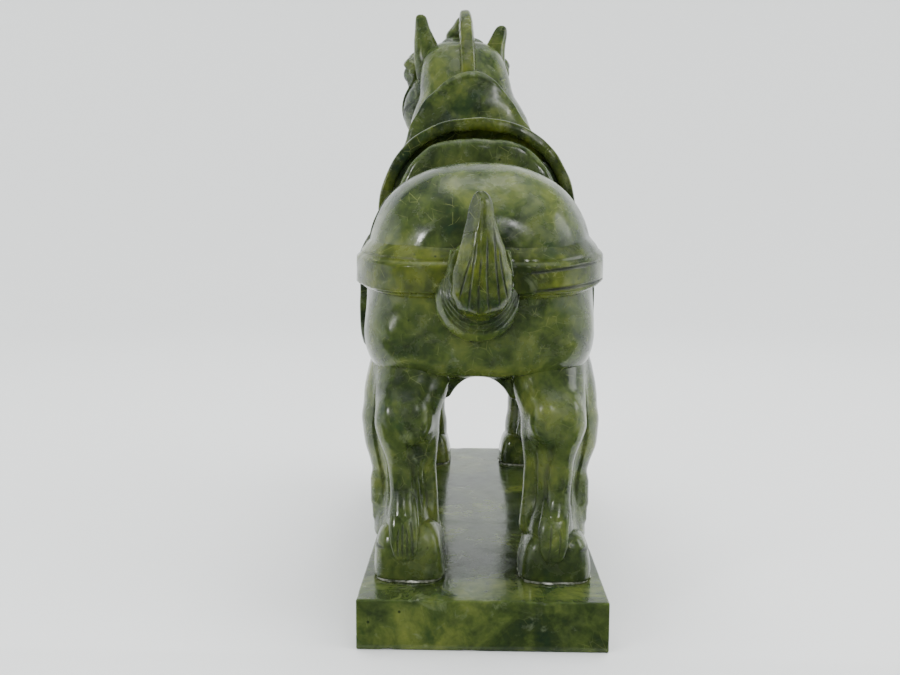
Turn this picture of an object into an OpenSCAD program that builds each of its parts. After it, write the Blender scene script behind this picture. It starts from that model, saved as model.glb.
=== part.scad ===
// Carved stone horse with saddle and harness, glued by its four hooves to a plain slab.
// Frame: millimetres, +Z up, origin at the centre of the slab's underside.
// The horse faces -Y, so its left side is +X. Heights of the horse are measured from under its hooves.

/* [Slab] */
// Width of the slab across the horse
slab_width = 88; // [84:1:100]
// Length of the slab along the horse
slab_length = 240; // [236:1:260]
// Thickness of the slab
slab_thickness = 18; // [12:1:24]
// Chamfer along every edge of the slab
slab_chamfer = 0.8; // [0.4:0.1:2]

/* [Adhesive] */
// Thickness of the adhesive bed under each hoof
glue_thickness = 0.8; // [0.4:0.1:1.5]
// How far the adhesive squeezes out around a hoof
glue_squeeze = 0.7; // [0.2:0.1:1.5]

/* [Trunk] */
// Length of the trunk from buttocks to chest
trunk_length = 190; // [184:1:196]
// Width of the trunk at the barrel
trunk_width = 93; // [88:1:95]
// Depth of the trunk from back to belly
trunk_depth = 86; // [82:1:90]
// Height of the belly above the hooves' soles
belly_height = 69; // [66:1:72]
// How far behind the slab's centre the buttocks reach
trunk_rear = 98; // [95:1:100]
// How far the trunk lies to the left of the slab's middle
trunk_offset = 2; // [0:0.5:3]

/* [Legs] */
// Distance between the centres of a left and a right hoof
hoof_spacing = 54; // [50:1:56]
// Width of a hoof
hoof_width = 27; // [25:1:28]
// Length of a hoof
hoof_length = 32; // [29:1:34]
// Height of a hoof
hoof_height = 21; // [19:1:23]
// Distance from the slab's centre to the middle of a hind hoof
hind_hoof_y = 88; // [85:1:90]
// Distance from the slab's centre to the middle of a front hoof
front_hoof_y = 91; // [88:1:94]

/* [Neck and head] */
// Height of the poll, the top of the head between the ears, above the hooves' soles
poll_height = 228; // [225:1:231]
// How far the head is turned to the horse's left, in degrees
head_turn = 20; // [14:1:24]
// Length of the head from poll to lips
head_length = 72; // [66:1:74]
// Width of the head across the jowls
head_width = 58; // [54:1:60]
// Length of an ear
ear_length = 24; // [20:1:26]
// Thickness of the upright mane
mane_thickness = 9; // [7:0.5:11]

/* [Saddle and harness] */
// Thickness of the saddle blanket
blanket_thickness = 3; // [2.4:0.2:4]
// Thickness of each side flap over the blanket
flap_thickness = 3; // [2.4:0.2:4]
// Height of the cantle's top edge above the hooves' soles
cantle_height = 177; // [174:1:181]
// Height of the pommel's top edge above the hooves' soles
pommel_height = 207; // [204:1:210]
// How far a harness strap stands out from the body
strap_relief = 4; // [3:0.2:4.6]
// Width of a harness strap
strap_width = 20; // [16:1:22]

/* [Tail] */
// Width of the coiled tail knot
tail_knot_width = 31; // [27:1:33]
// Height of the tail's upturned tip above the hooves' soles
tail_tip_height = 140; // [136:1:145]

/* [Hidden] */

JADE = "olivedrab";
JADE_DARK = "darkolivegreen";
JADE_LIGHT = "yellowgreen";
GLUE = "gainsboro";

LEFT = 1;
RIGHT = -1;
SIDES = 20;        // corners of one cross-section
STEPS = 3;         // cross-sections from one station to the next
FAR = 200;         // longer than any cut through the horse needs
SQUARE_SOLE = 4;   // squareness of a hoof's outline: 2 is an ellipse
OVAL = 2.5;        // squareness of the body's cross-sections
FLAT_SIDED = 5;    // squareness of the saddle flaps, which hang plumb

ground = slab_thickness + glue_thickness;
trunk_half = trunk_width / 2;
back_height = belly_height + trunk_depth;
front_offset = trunk_offset * 1.2;

// Trunk stations from buttocks to chest. Each is the way along the trunk, the half width,
// the underside and the top: parts of trunk_length, trunk_width / 2 and trunk_depth.
TRUNK = [
  [0.000, 0.14, 0.40, 0.60],
  [0.016, 0.44, 0.24, 0.76],
  [0.045, 0.66, 0.13, 0.86],
  [0.095, 0.84, 0.04, 0.94],
  [0.170, 0.93, 0.01, 1.00],
  [0.280, 0.96, 0.01, 1.01],
  [0.440, 1.00, 0.03, 0.97],
  [0.600, 1.00, 0.04, 0.97],
  [0.740, 0.96, 0.06, 1.05],
  [0.840, 0.87, 0.11, 1.07],
  [0.925, 0.70, 0.22, 0.96],
  [0.980, 0.45, 0.36, 0.80],
  [1.000, 0.16, 0.50, 0.66]
];

// Leg stations from hoof to body: height, middle across, middle along, half width, half length.
HIND_LEG = [
  [hoof_height, 27.5, 84, 11.5, 12.5],
  [hoof_height + 8, 28.5, 84, 11.3, 11],
  [hoof_height + 16, 29.5, 83, 11.8, 12],
  [hoof_height + 25, 29.7, 82, 14.5, 16],
  [hoof_height + 34, 29.7, 79, 16.5, 20],
  [hoof_height + 44, 28.5, 75, 16.2, 22],
  [hoof_height + 56, 26, 70, 17, 24],
  [hoof_height + 70, 24, 66, 17, 24]
];
FRONT_LEG = [
  [hoof_height, 27.5, -89, 10.8, 12],
  [hoof_height + 8, 27.5, -88, 10.2, 10.5],
  [hoof_height + 20, 27.5, -86, 10.4, 10.5],
  [hoof_height + 33, 27.5, -85, 12.8, 13.5],
  [hoof_height + 44, 27.5, -83, 12.6, 13],
  [hoof_height + 58, 27, -78, 15, 17],
  [hoof_height + 72, 25, -74, 17, 20],
  [hoof_height + 84, 22, -70, 17, 22]
];

// Neck stations from withers to poll: middle across, middle along, height, half width, half depth.
NECK = [
  [3, -54, back_height - 20, 34, 33],
  [5, -62, back_height + 6, 31, 30],
  [7, -70, back_height + 30, 27, 25],
  [9, -78, back_height + 51, 24, 21],
  [10.5, -84, back_height + 64, 22, 18]
];
neck_lean = 20;    // tilt of the neck's cross-sections, in degrees
poll = [10.5, -86, poll_height];
head_droop = 52;   // how far the face points below level, in degrees

// Head stations from poll to lips: the way along the head, half width and half depth.
HEAD = [
  [0.00, 0.50, 0.28],
  [0.06, 0.76, 0.46],
  [0.20, 0.92, 0.70],
  [0.42, 1.00, 0.84],
  [0.60, 0.76, 0.68],
  [0.76, 0.56, 0.50],
  [0.90, 0.52, 0.46],
  [0.98, 0.38, 0.34],
  [1.00, 0.24, 0.20]
];
head_half = head_width / 2;

blanket_front = -50;
blanket_rear = 30;
blanket_hem = 104;
flap_front = -38;
flap_rear = 24;
flap_hem = 75;
flap_top = 146;
flap_corner = 14;
seat_front = -34;
seat_rear = 12;
seat_height = 8;
cantle_y = 15;
cantle_half = 43;
cantle_foot = 145;
cantle_thickness = 6;
cantle_flare = 1.06;
pommel_y = -47;
pommel_x = 6;
pommel_half = 35;
pommel_foot = 158;
pommel_thickness = 12;
strap_rear_height = 114;
strap_rise = 4;    // slope of the crupper strap towards the saddle, in degrees
breast_strap_height = 112;
knot_centre = [2.5, 100, 104];
knot_half_height = 15.5;
knot_half_depth = 10;
tail_tip_x = 1.3;

// Sign-keeping power, for cross-sections between an ellipse and a rectangle.
function power_of(value, exponent) = sign(value) * pow(abs(value), exponent);

// One closed cross-section: its centre, its two half-axes and its squareness.
function ring(centre, across, along, squareness) = [
  for (i = [0 : SIDES - 1])
    let (turn = 360 * (i + 0.5) / SIDES)
      centre
        + across * power_of(cos(turn), 2 / squareness)
        + along * power_of(sin(turn), 2 / squareness)
];

// A smooth curve through four rows of numbers, from the second to the third.
function between(a, b, c, d, t) =
  0.5 * (2 * b + (c - a) * t + (2 * a - 5 * b + 4 * c - d) * t * t + (3 * b - a - 3 * c + d) * t * t * t);

// Stations with smooth ones added between them.
function smoothed(rows) = [
  for (k = [0 : len(rows) - 2], j = [0 : STEPS - 1])
    between(rows[max(k - 1, 0)], rows[k], rows[k + 1], rows[min(k + 2, len(rows) - 1)], j / STEPS),
  rows[len(rows) - 1]
];

// How far a leg lies to the left: only the front legs follow the trunk's offset.
function offset_at(y) = y < 0 ? front_offset : 0;

// A closed skin over a row of cross-sections, which follow each other the way that turning
// from across to along would drive a screw.
module loft(rings) {
  last = len(rings) - 1;
  points = [for (one = rings) each one];
  walls = [
    for (k = [0 : last - 1], i = [0 : SIDES - 1])
      let (a = k * SIDES + i, b = k * SIDES + (i + 1) % SIDES)
        [a, a + SIDES, b + SIDES, b]
  ];
  first_cap = [for (i = [0 : SIDES - 1]) i];
  last_cap = [for (i = [SIDES - 1 : -1 : 0]) last * SIDES + i];
  polyhedron(points, concat([first_cap], walls, [last_cap]));
}

// The first child less all the others, as one carved skin standing on the slab.
module carved() {
  translate([0, 0, ground])
    resize([0, 0, 0])
      difference() {
        children(0);
        children([1 : $children - 1]);
      }
}

module trunk_form(grow = 0, squareness = OVAL) {
  loft([
    for (s = smoothed(TRUNK))
      let (
        y = trunk_rear + grow - s[0] * (trunk_length + 2 * grow),
        middle = belly_height + trunk_depth * (s[2] + s[3]) / 2,
        half_depth = trunk_depth * (s[3] - s[2]) / 2 + grow
      )
        ring([trunk_offset, y, middle], [s[1] * trunk_half + grow, 0, 0], [0, 0, half_depth], squareness)
  ]);
}

module leg_form(stations, side) {
  translate([offset_at(stations[0][2]), 0, 0])
    mirror([side == LEFT ? 0 : 1, 0, 0])
      loft([
        for (s = smoothed(stations))
          ring([s[1], s[2], s[0]], [s[3], 0, 0], [0, s[4], 0], OVAL)
      ]);
}

module neck_form() {
  loft([
    for (s = smoothed(NECK))
      ring([s[0], s[1], s[2]], [s[3], 0, 0], s[4] * [0, cos(neck_lean), sin(neck_lean)], OVAL)
  ]);
}

// Places children in the head's own frame: origin at the poll, -Z along the face to the lips,
// -Y out of the forehead.
module on_head() {
  translate(poll)
    rotate([0, 0, head_turn])
      rotate([head_droop - 90, 0, 0])
        children();
}

module head_form(grow = 0) {
  on_head()
    loft([
      for (s = smoothed(HEAD))
        ring(
          [0, 0, -s[0] * (head_length + grow)],
          [s[1] * head_half + grow, 0, 0],
          [0, -s[2] * head_half - grow, 0],
          OVAL
        )
    ]);
}

// A slice of the whole width, for cutting bands out of grown forms.
module band(y_from, y_to, z_from, z_to) {
  translate([-FAR / 2, y_from, z_from])
    cube([FAR, y_to - y_from, z_to - z_from]);
}

// Outline of one arch of the saddle: half an ellipse standing on straight feet.
module arch_outline(half, foot, top) {
  translate([0, foot])
    intersection() {
      scale([1, (top - foot) / half])
        circle(half, $fn = 2 * SIDES);
      translate([-half, 0])
        square([2 * half, top - foot]);
    }
}

// Outline of a sole, for a hoof or its adhesive.
module sole_outline(grow) {
  polygon([
    for (corner = ring([0, 0], [hoof_width / 2 + grow, 0], [0, hoof_length / 2 + grow], SQUARE_SOLE))
      corner
  ]);
}

module at_hoof(side, y) {
  translate([side * hoof_spacing / 2 + offset_at(y), y, 0])
    children();
}

module hoof(side, y) {
  levels = [[0, 1], [0.45, 0.97], [0.8, 0.88], [0.94, 0.76], [1, 0.62]];
  color(JADE_DARK)
    translate([0, 0, ground])
      at_hoof(side, y)
        loft([
          for (s = levels)
            ring(
              [0, 0, s[0] * hoof_height],
              [s[1] * hoof_width / 2, 0, 0],
              [0, s[1] * hoof_length / 2, 0],
              SQUARE_SOLE
            )
        ]);
}

module glue_bed(side, y) {
  color(GLUE)
    translate([0, 0, slab_thickness])
      at_hoof(side, y)
        linear_extrude(glue_thickness)
          sole_outline(glue_squeeze);
}

module leg(stations, side) {
  color(JADE)
    carved() {
      leg_form(stations, side);
      trunk_form();
    }
}

// A rectangle with cut corners, extruded and centred.
module cut_bar(width, depth, length) {
  linear_extrude(length, center = true)
    difference() {
      square([width, depth], center = true);
      for (x = [-1, 1], y = [-1, 1])
        translate([x * width / 2, y * depth / 2])
          rotate(45)
            square(slab_chamfer * sqrt(2), center = true);
    }
}

module base_slab() {
  color(JADE)
    translate([0, 0, slab_thickness / 2])
      intersection() {
        cut_bar(slab_width, slab_length, slab_thickness);
        rotate([90, 0, 0])
          cut_bar(slab_width, slab_thickness, slab_length);
        rotate([0, 90, 0])
          cut_bar(slab_thickness, slab_length, slab_width);
      }
}

module trunk() {
  color(JADE)
    translate([0, 0, ground])
      trunk_form();
}

module neck() {
  color(JADE)
    carved() {
      neck_form();
      trunk_form(blanket_thickness);
      pommel_form();
    }
}

module head() {
  color(JADE)
    carved() {
      head_form();
      neck_form();
    }
}

module ear_form(side) {
  // The way up the ear and its half width there, in parts of ear_length.
  levels = [[0, 0.22], [0.35, 0.3], [0.6, 0.24], [0.85, 0.12], [1, 0.03]];
  root = 19;       // length of ear set into the head
  whole = ear_length + root;
  right_drop = side == LEFT ? 0 : 4.5;
  translate(poll)
    rotate([0, 0, head_turn])
      translate([side * head_half * 0.75, -3, -root - 9 - right_drop])
        rotate([-4, side * 5, 0])
          loft([
            for (s = levels)
              ring([0, 0, s[0] * whole], [s[1] * ear_length, 0, 0], [0, s[1] * ear_length * 0.8, 0], 2)
          ]);
}

module ear(side) {
  color(JADE_LIGHT)
    carved() {
      ear_form(side);
      head_form();
      neck_form();
    }
}

module eye(side) {
  color(JADE_DARK)
    carved() {
      on_head()
        translate([side * head_half * 0.93, -4, -head_length * 0.24])
          sphere(6, $fn = SIDES);
      head_form();
    }
}

module forelock() {
  color(JADE_LIGHT)
    carved() {
      on_head()
        translate([0, -head_half * 0.6, -head_length * 0.14])
          scale([1, 1, 1.6])
            sphere(7, $fn = SIDES);
      head_form();
      neck_form();
      mane_form();
    }
}

// The mane stands on the neck's crest from the pommel to a peak above the poll.
module mane_form() {
  peak = [-poll[1] + 4, poll_height + 19];
  crest = [
    [-pommel_y + 2, pommel_height - 16],
    [-pommel_y + 12, pommel_height + 10],
    [-poll[1] - 14, poll_height + 10],
    peak,
    [-poll[1] + 12, poll_height + 12],
    [-poll[1] + 12, poll_height - 10],
    [-poll[1] - 10, poll_height - 30],
    [-pommel_y + 14, pommel_height - 30]
  ];
  translate([mane_thickness * 0.5 + 7, 0, 0])
    rotate([90, 0, -90])
      linear_extrude(mane_thickness)
        polygon(crest);
}

module mane() {
  color(JADE_LIGHT)
    carved() {
      mane_form();
      neck_form();
      head_form();
      pommel_form();
    }
}

module bridle() {
  strap = 6;
  color(JADE_DARK)
    carved() {
      intersection() {
        head_form(1.5);
        on_head()
          union() {
            translate([0, 0, -head_length * 0.72])
              cube([FAR, FAR, strap], center = true);
            translate([0, head_half * 0.15, -head_length * 0.45])
              cube([FAR, strap, head_length * 0.54], center = true);
          }
      }
      head_form();
      neck_form();
    }
}

module saddle_blanket() {
  color(JADE_DARK)
    carved() {
      intersection() {
        trunk_form(blanket_thickness);
        band(blanket_front, blanket_rear, blanket_hem, FAR);
      }
      trunk_form();
    }
}

// Side outline of a flap, rounded at its lower corners.
module flap_outline() {
  hull() {
    for (y = [flap_front, flap_rear])
      translate([y - sign(y) * flap_corner, flap_hem + flap_corner])
        circle(flap_corner, $fn = 2 * SIDES);
    translate([flap_front + 4, flap_top - 1])
      square([flap_rear - flap_front - 8, 1]);
  }
}

module saddle_flap(side) {
  color(JADE)
    carved() {
      intersection() {
        trunk_form(blanket_thickness + flap_thickness, FLAT_SIDED);
        mirror([side == LEFT ? 0 : 1, 0, 0])
          rotate([90, 0, 90])
            linear_extrude(FAR)
              flap_outline();
      }
      trunk_form(blanket_thickness);
      trunk_below_blanket();
    }
}

// What lies under the flaps where the blanket ends.
module trunk_below_blanket() {
  intersection() {
    trunk_form();
    band(blanket_front, blanket_rear, 0, blanket_hem);
  }
}

module saddle_seat() {
  color(JADE_DARK)
    carved() {
      intersection() {
        trunk_form(blanket_thickness + seat_height);
        band(seat_front, seat_rear, flap_top, FAR);
      }
      trunk_form(blanket_thickness);
      pommel_form();
      cantle_form();
    }
}

module cantle_form() {
  translate([trunk_offset, cantle_y - cantle_thickness / 2, 0])
    rotate([90, 0, 180])
      linear_extrude(cantle_thickness, scale = cantle_flare)
        arch_outline(cantle_half / cantle_flare, cantle_foot / cantle_flare, cantle_height / cantle_flare);
}

module saddle_cantle() {
  color(JADE_LIGHT)
    carved() {
      cantle_form();
      trunk_form(blanket_thickness);
    }
}

module pommel_form() {
  translate([pommel_x, pommel_y + pommel_thickness, 0])
    rotate([90, 0, 0])
      linear_extrude(pommel_thickness)
        arch_outline(pommel_half, pommel_foot, pommel_height);
}

module saddle_pommel() {
  color(JADE)
    carved() {
      pommel_form();
      trunk_form(blanket_thickness);
    }
}

module crupper_strap() {
  color(JADE_LIGHT)
    carved() {
      intersection() {
        trunk_form(strap_relief);
        translate([0, trunk_rear, strap_rear_height - strap_width / 2])
          rotate([-strap_rise, 0, 0])
            translate([-FAR / 2, -trunk_rear + blanket_rear, 0])
              cube([FAR, FAR, strap_width]);
      }
      trunk_form();
      band(-FAR, blanket_rear, 0, FAR);
      knot_form();
    }
}

module breast_strap() {
  bottom = breast_strap_height - strap_width / 2;
  color(JADE_LIGHT)
    carved() {
      intersection() {
        trunk_form(strap_relief);
        band(-FAR, blanket_front, bottom, bottom + strap_width);
      }
      trunk_form();
      neck_form();
    }
}

module knot_form() {
  translate(knot_centre)
    scale([tail_knot_width / 2, knot_half_depth, knot_half_height])
      sphere(1, $fn = SIDES);
}

module tail_knot() {
  color(JADE_DARK)
    carved() {
      knot_form();
      trunk_form();
    }
}

module tail_tip() {
  base = knot_centre[2] - 5;
  rise = tail_tip_height - base;
  // The way up the tip, half width, half thickness and the way back.
  levels = [
    [0, 5, 3, 108], [0.15, 9, 4.5, 111.5], [0.35, 10.5, 4.5, 113.5], [0.7, 6.5, 3.6, 113], [1, 1.2, 1, 111]
  ];
  color(JADE_LIGHT)
    carved() {
      loft([
        for (s = smoothed(levels))
          ring([tail_tip_x, s[3], base + s[0] * rise], [s[1], 0, 0], [0, s[2], 0], 2)
      ]);
      knot_form();
      trunk_form();
    }
}

base_slab();
glue_bed(LEFT, -front_hoof_y);  // glue_bed_front_left
glue_bed(RIGHT, -front_hoof_y);  // glue_bed_front_right
glue_bed(LEFT, hind_hoof_y);  // glue_bed_hind_left
glue_bed(RIGHT, hind_hoof_y);  // glue_bed_hind_right
hoof(LEFT, -front_hoof_y);  // hoof_front_left
hoof(RIGHT, -front_hoof_y);  // hoof_front_right
hoof(LEFT, hind_hoof_y);  // hoof_hind_left
hoof(RIGHT, hind_hoof_y);  // hoof_hind_right
leg(FRONT_LEG, LEFT);  // leg_front_left
leg(FRONT_LEG, RIGHT);  // leg_front_right
leg(HIND_LEG, LEFT);  // leg_hind_left
leg(HIND_LEG, RIGHT);  // leg_hind_right
trunk();
neck();
head();
ear(LEFT);  // ear_left
ear(RIGHT);  // ear_right
eye(LEFT);  // eye_left
eye(RIGHT);  // eye_right
forelock();
mane();
bridle();
saddle_blanket();
saddle_flap(LEFT);  // saddle_flap_left
saddle_flap(RIGHT);  // saddle_flap_right
saddle_seat();
saddle_cantle();
saddle_pommel();
crupper_strap();
breast_strap();
tail_knot();
tail_tip();
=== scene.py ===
"""Looks of the carved stone horse: every piece is shaped as a block of signed distances, then skinned."""

import math

import bmesh
import bpy
import numpy as np
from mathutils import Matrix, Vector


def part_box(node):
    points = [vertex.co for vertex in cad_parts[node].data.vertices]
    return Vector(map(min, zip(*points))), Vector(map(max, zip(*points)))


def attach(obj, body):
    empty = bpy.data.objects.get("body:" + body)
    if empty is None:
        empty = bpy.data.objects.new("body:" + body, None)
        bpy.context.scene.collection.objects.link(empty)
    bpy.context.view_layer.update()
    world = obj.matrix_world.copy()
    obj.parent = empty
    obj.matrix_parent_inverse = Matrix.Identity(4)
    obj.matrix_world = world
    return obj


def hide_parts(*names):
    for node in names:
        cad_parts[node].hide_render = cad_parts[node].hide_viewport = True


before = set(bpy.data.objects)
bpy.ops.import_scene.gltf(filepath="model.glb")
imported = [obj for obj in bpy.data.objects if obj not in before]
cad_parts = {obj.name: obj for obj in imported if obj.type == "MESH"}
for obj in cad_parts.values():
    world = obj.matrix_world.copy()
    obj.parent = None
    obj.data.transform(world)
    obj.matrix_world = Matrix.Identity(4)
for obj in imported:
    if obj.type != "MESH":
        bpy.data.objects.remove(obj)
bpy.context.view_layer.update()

import openvdb
from mathutils import Euler, Matrix, Vector, noise

MM = 0.001
# The distance that a block's empty space holds, in millimetres.
FAR = 40.0
LEFT, RIGHT = 1, -1
SIDE_NAME = {LEFT: "left", RIGHT: "right"}
MOST_TRIANGLES = 190_000
rng = np.random.default_rng(7)


def node_box(name):
    """Lowest and highest corner of a CAD node, in millimetres."""
    low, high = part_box(name)
    return np.array(low) / MM, np.array(high) / MM


# ---------------------------------------------------------------- curves

def hermite(t, values, tangents, at):
    """Cubic pieces through values at t, with the tangents given there, read at other places."""
    k = np.clip(np.searchsorted(t, at, side="right") - 1, 0, len(t) - 2)
    h = (t[k + 1] - t[k])[:, None]
    s = (at - t[k])[:, None] / h
    return (
        (1 + 2 * s) * (1 - s) ** 2 * values[k]
        + s * (1 - s) ** 2 * h * tangents[k]
        + s * s * (3 - 2 * s) * values[k + 1]
        + s * s * (s - 1) * h * tangents[k + 1]
    )


def smooth_rows(rows, at):
    """Rows of numbers read as curves over their first column, with no overshoot."""
    rows = np.array(sorted(rows), float)
    t, v = rows[:, 0], rows[:, 1:]
    step = np.diff(t)
    slope = np.diff(v, axis=0) / step[:, None]
    tangent = np.zeros_like(v)
    same = slope[:-1] * slope[1:] > 0
    total = np.where(same, slope[:-1] + slope[1:], 1)
    tangent[1:-1] = np.where(same, 2 * slope[:-1] * slope[1:] / total, 0)
    tangent[0], tangent[-1] = slope[0], slope[-1]
    return hermite(t, v, tangent, np.clip(np.asarray(at, float), t[0], t[-1]))


def through(points, spacing):
    """A smooth line through a few points, resampled about every spacing millimetres."""
    points = np.array(points, float)
    run = np.concatenate([[0], np.cumsum(np.linalg.norm(np.diff(points, axis=0), axis=1))])
    at = np.linspace(0, run[-1], max(2, int(run[-1] / spacing) + 1))
    return hermite(run, points, np.gradient(points, run, axis=0), at)


# ---------------------------------------------------------------- shapes: (low corner, high corner, distance)

def ball(centre, radii, turn=(0, 0, 0)):
    """An ellipsoid, turned by degrees about X, Y and Z."""
    centre, radii = np.array(centre, float), np.array(radii, float)
    m = np.array(Euler([math.radians(a) for a in turn]).to_matrix().transposed())
    reach = np.abs(m.T) @ radii

    def distance(x, y, z):
        p = [x - centre[0], y - centre[1], z - centre[2]]
        q = [m[i, 0] * p[0] + m[i, 1] * p[1] + m[i, 2] * p[2] for i in range(3)]
        near = np.sqrt(sum((q[i] / radii[i]) ** 2 for i in range(3)))
        far = np.sqrt(sum((q[i] / radii[i] ** 2) ** 2 for i in range(3)))
        return near * (near - 1) / np.maximum(far, 1e-6)

    return centre - reach, centre + reach, distance


def stack(axis, rows, power=2.0, low_power=None):
    """Oval sections threaded along an axis. A row is the place on it, two centres and two half widths.

    The power is 2 for an ellipse and more for a squarer section, and low_power is its lower half's own.
    """
    rows = sorted(rows)
    u_axis, v_axis = [i for i in range(3) if i != axis]
    low, high = np.zeros(3), np.zeros(3)
    low[axis], high[axis] = rows[0][0], rows[-1][0]
    for k, other in enumerate((u_axis, v_axis)):
        low[other] = min(r[1 + k] - r[3 + k] for r in rows)
        high[other] = max(r[1 + k] + r[3 + k] for r in rows)

    def distance(*p):
        t = p[axis]
        cu, cv, hu, hv = smooth_rows(rows, t.ravel()).T
        cu, cv, hu, hv = (a.reshape(t.shape).astype(np.float32) for a in (cu, cv, hu, hv))
        du, dv = np.abs((p[u_axis] - cu) / hu), np.abs((p[v_axis] - cv) / hv)
        if power == 2.0:
            oval = np.sqrt(du * du + dv * dv)
        elif low_power:
            lower = p[v_axis] < cv
            exponent = np.where(lower, np.float32(low_power), np.float32(power))
            oval = (du**exponent + dv**exponent) ** (1 / exponent)
        else:
            oval = (du**power + dv**power) ** (1 / power)
        side = (oval - 1) * np.minimum(hu, hv)
        cap = np.abs(t - (rows[0][0] + rows[-1][0]) / 2) - (rows[-1][0] - rows[0][0]) / 2
        return np.maximum(side, cap)

    return low, high, distance


def tube(points, radii, reach=4.0):
    """A round bar along a line of points, with a radius at each."""
    points = np.array(points, float)
    radii = np.broadcast_to(np.array(radii, float), len(points))
    most = radii.max()

    def distance(x, y, z):
        out = np.full(np.broadcast_shapes(x.shape, y.shape, z.shape), FAR, np.float32)
        axes = [x.ravel(), y.ravel(), z.ravel()]
        for a, b, ra, rb in zip(points, points[1:], radii, radii[1:]):
            cuts = [
                slice(
                    np.searchsorted(axes[i], min(a[i], b[i]) - most - reach),
                    np.searchsorted(axes[i], max(a[i], b[i]) + most + reach),
                )
                for i in range(3)
            ]
            if any(c.start >= c.stop for c in cuts):
                continue
            px = x[cuts[0]] - a[0]
            py = y[:, cuts[1]] - a[1]
            pz = z[:, :, cuts[2]] - a[2]
            d = b - a
            t = np.clip((px * d[0] + py * d[1] + pz * d[2]) / max(d @ d, 1e-9), 0, 1)
            away = np.sqrt((px - t * d[0]) ** 2 + (py - t * d[1]) ** 2 + (pz - t * d[2]) ** 2)
            spot = tuple(cuts)
            out[spot] = np.minimum(out[spot], away - (ra + (rb - ra) * t))
        return out

    return points.min(0) - most, points.max(0) + most, distance


def brick(low, high, rounding=0.0):
    """A box with rounded edges."""
    low, high = np.array(low, float), np.array(high, float)
    mid, half = (low + high) / 2, (high - low) / 2 - rounding

    def distance(x, y, z):
        q = [np.abs(c - mid[i]) - half[i] for i, c in enumerate((x, y, z))]
        outside = np.sqrt(sum(np.maximum(c, 0) ** 2 for c in q))
        inside = np.minimum(np.maximum(np.maximum(q[0], q[1]), q[2]), 0)
        return outside + inside - rounding

    return low, high, distance


def moved(shape, matrix):
    """A shape carried by a 4 by 4 matrix of a turn and a shift."""
    low, high, inner = shape
    m = np.array(matrix)
    back = np.array(Matrix(matrix).inverted())
    corners = np.array(
        [[x, y, z] for x in (low[0], high[0]) for y in (low[1], high[1]) for z in (low[2], high[2])]
    )
    placed = corners @ m[:3, :3].T + m[:3, 3]

    def distance(x, y, z):
        return inner(*(back[i, 0] * x + back[i, 1] * y + back[i, 2] * z + back[i, 3] for i in range(3)))

    return placed.min(0), placed.max(0), distance


def smooth_min(a, b, blend):
    """The nearer of two distances, rounded over where they are within blend of each other."""
    if blend <= 0:
        return np.minimum(a, b)
    h = np.maximum(blend - np.abs(a - b), 0) / blend
    return np.minimum(a, b) - h * h * blend * 0.25


def smooth_max(a, b, blend):
    """The farther of two distances, rounded likewise."""
    return -smooth_min(-a, -b, blend)


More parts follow.
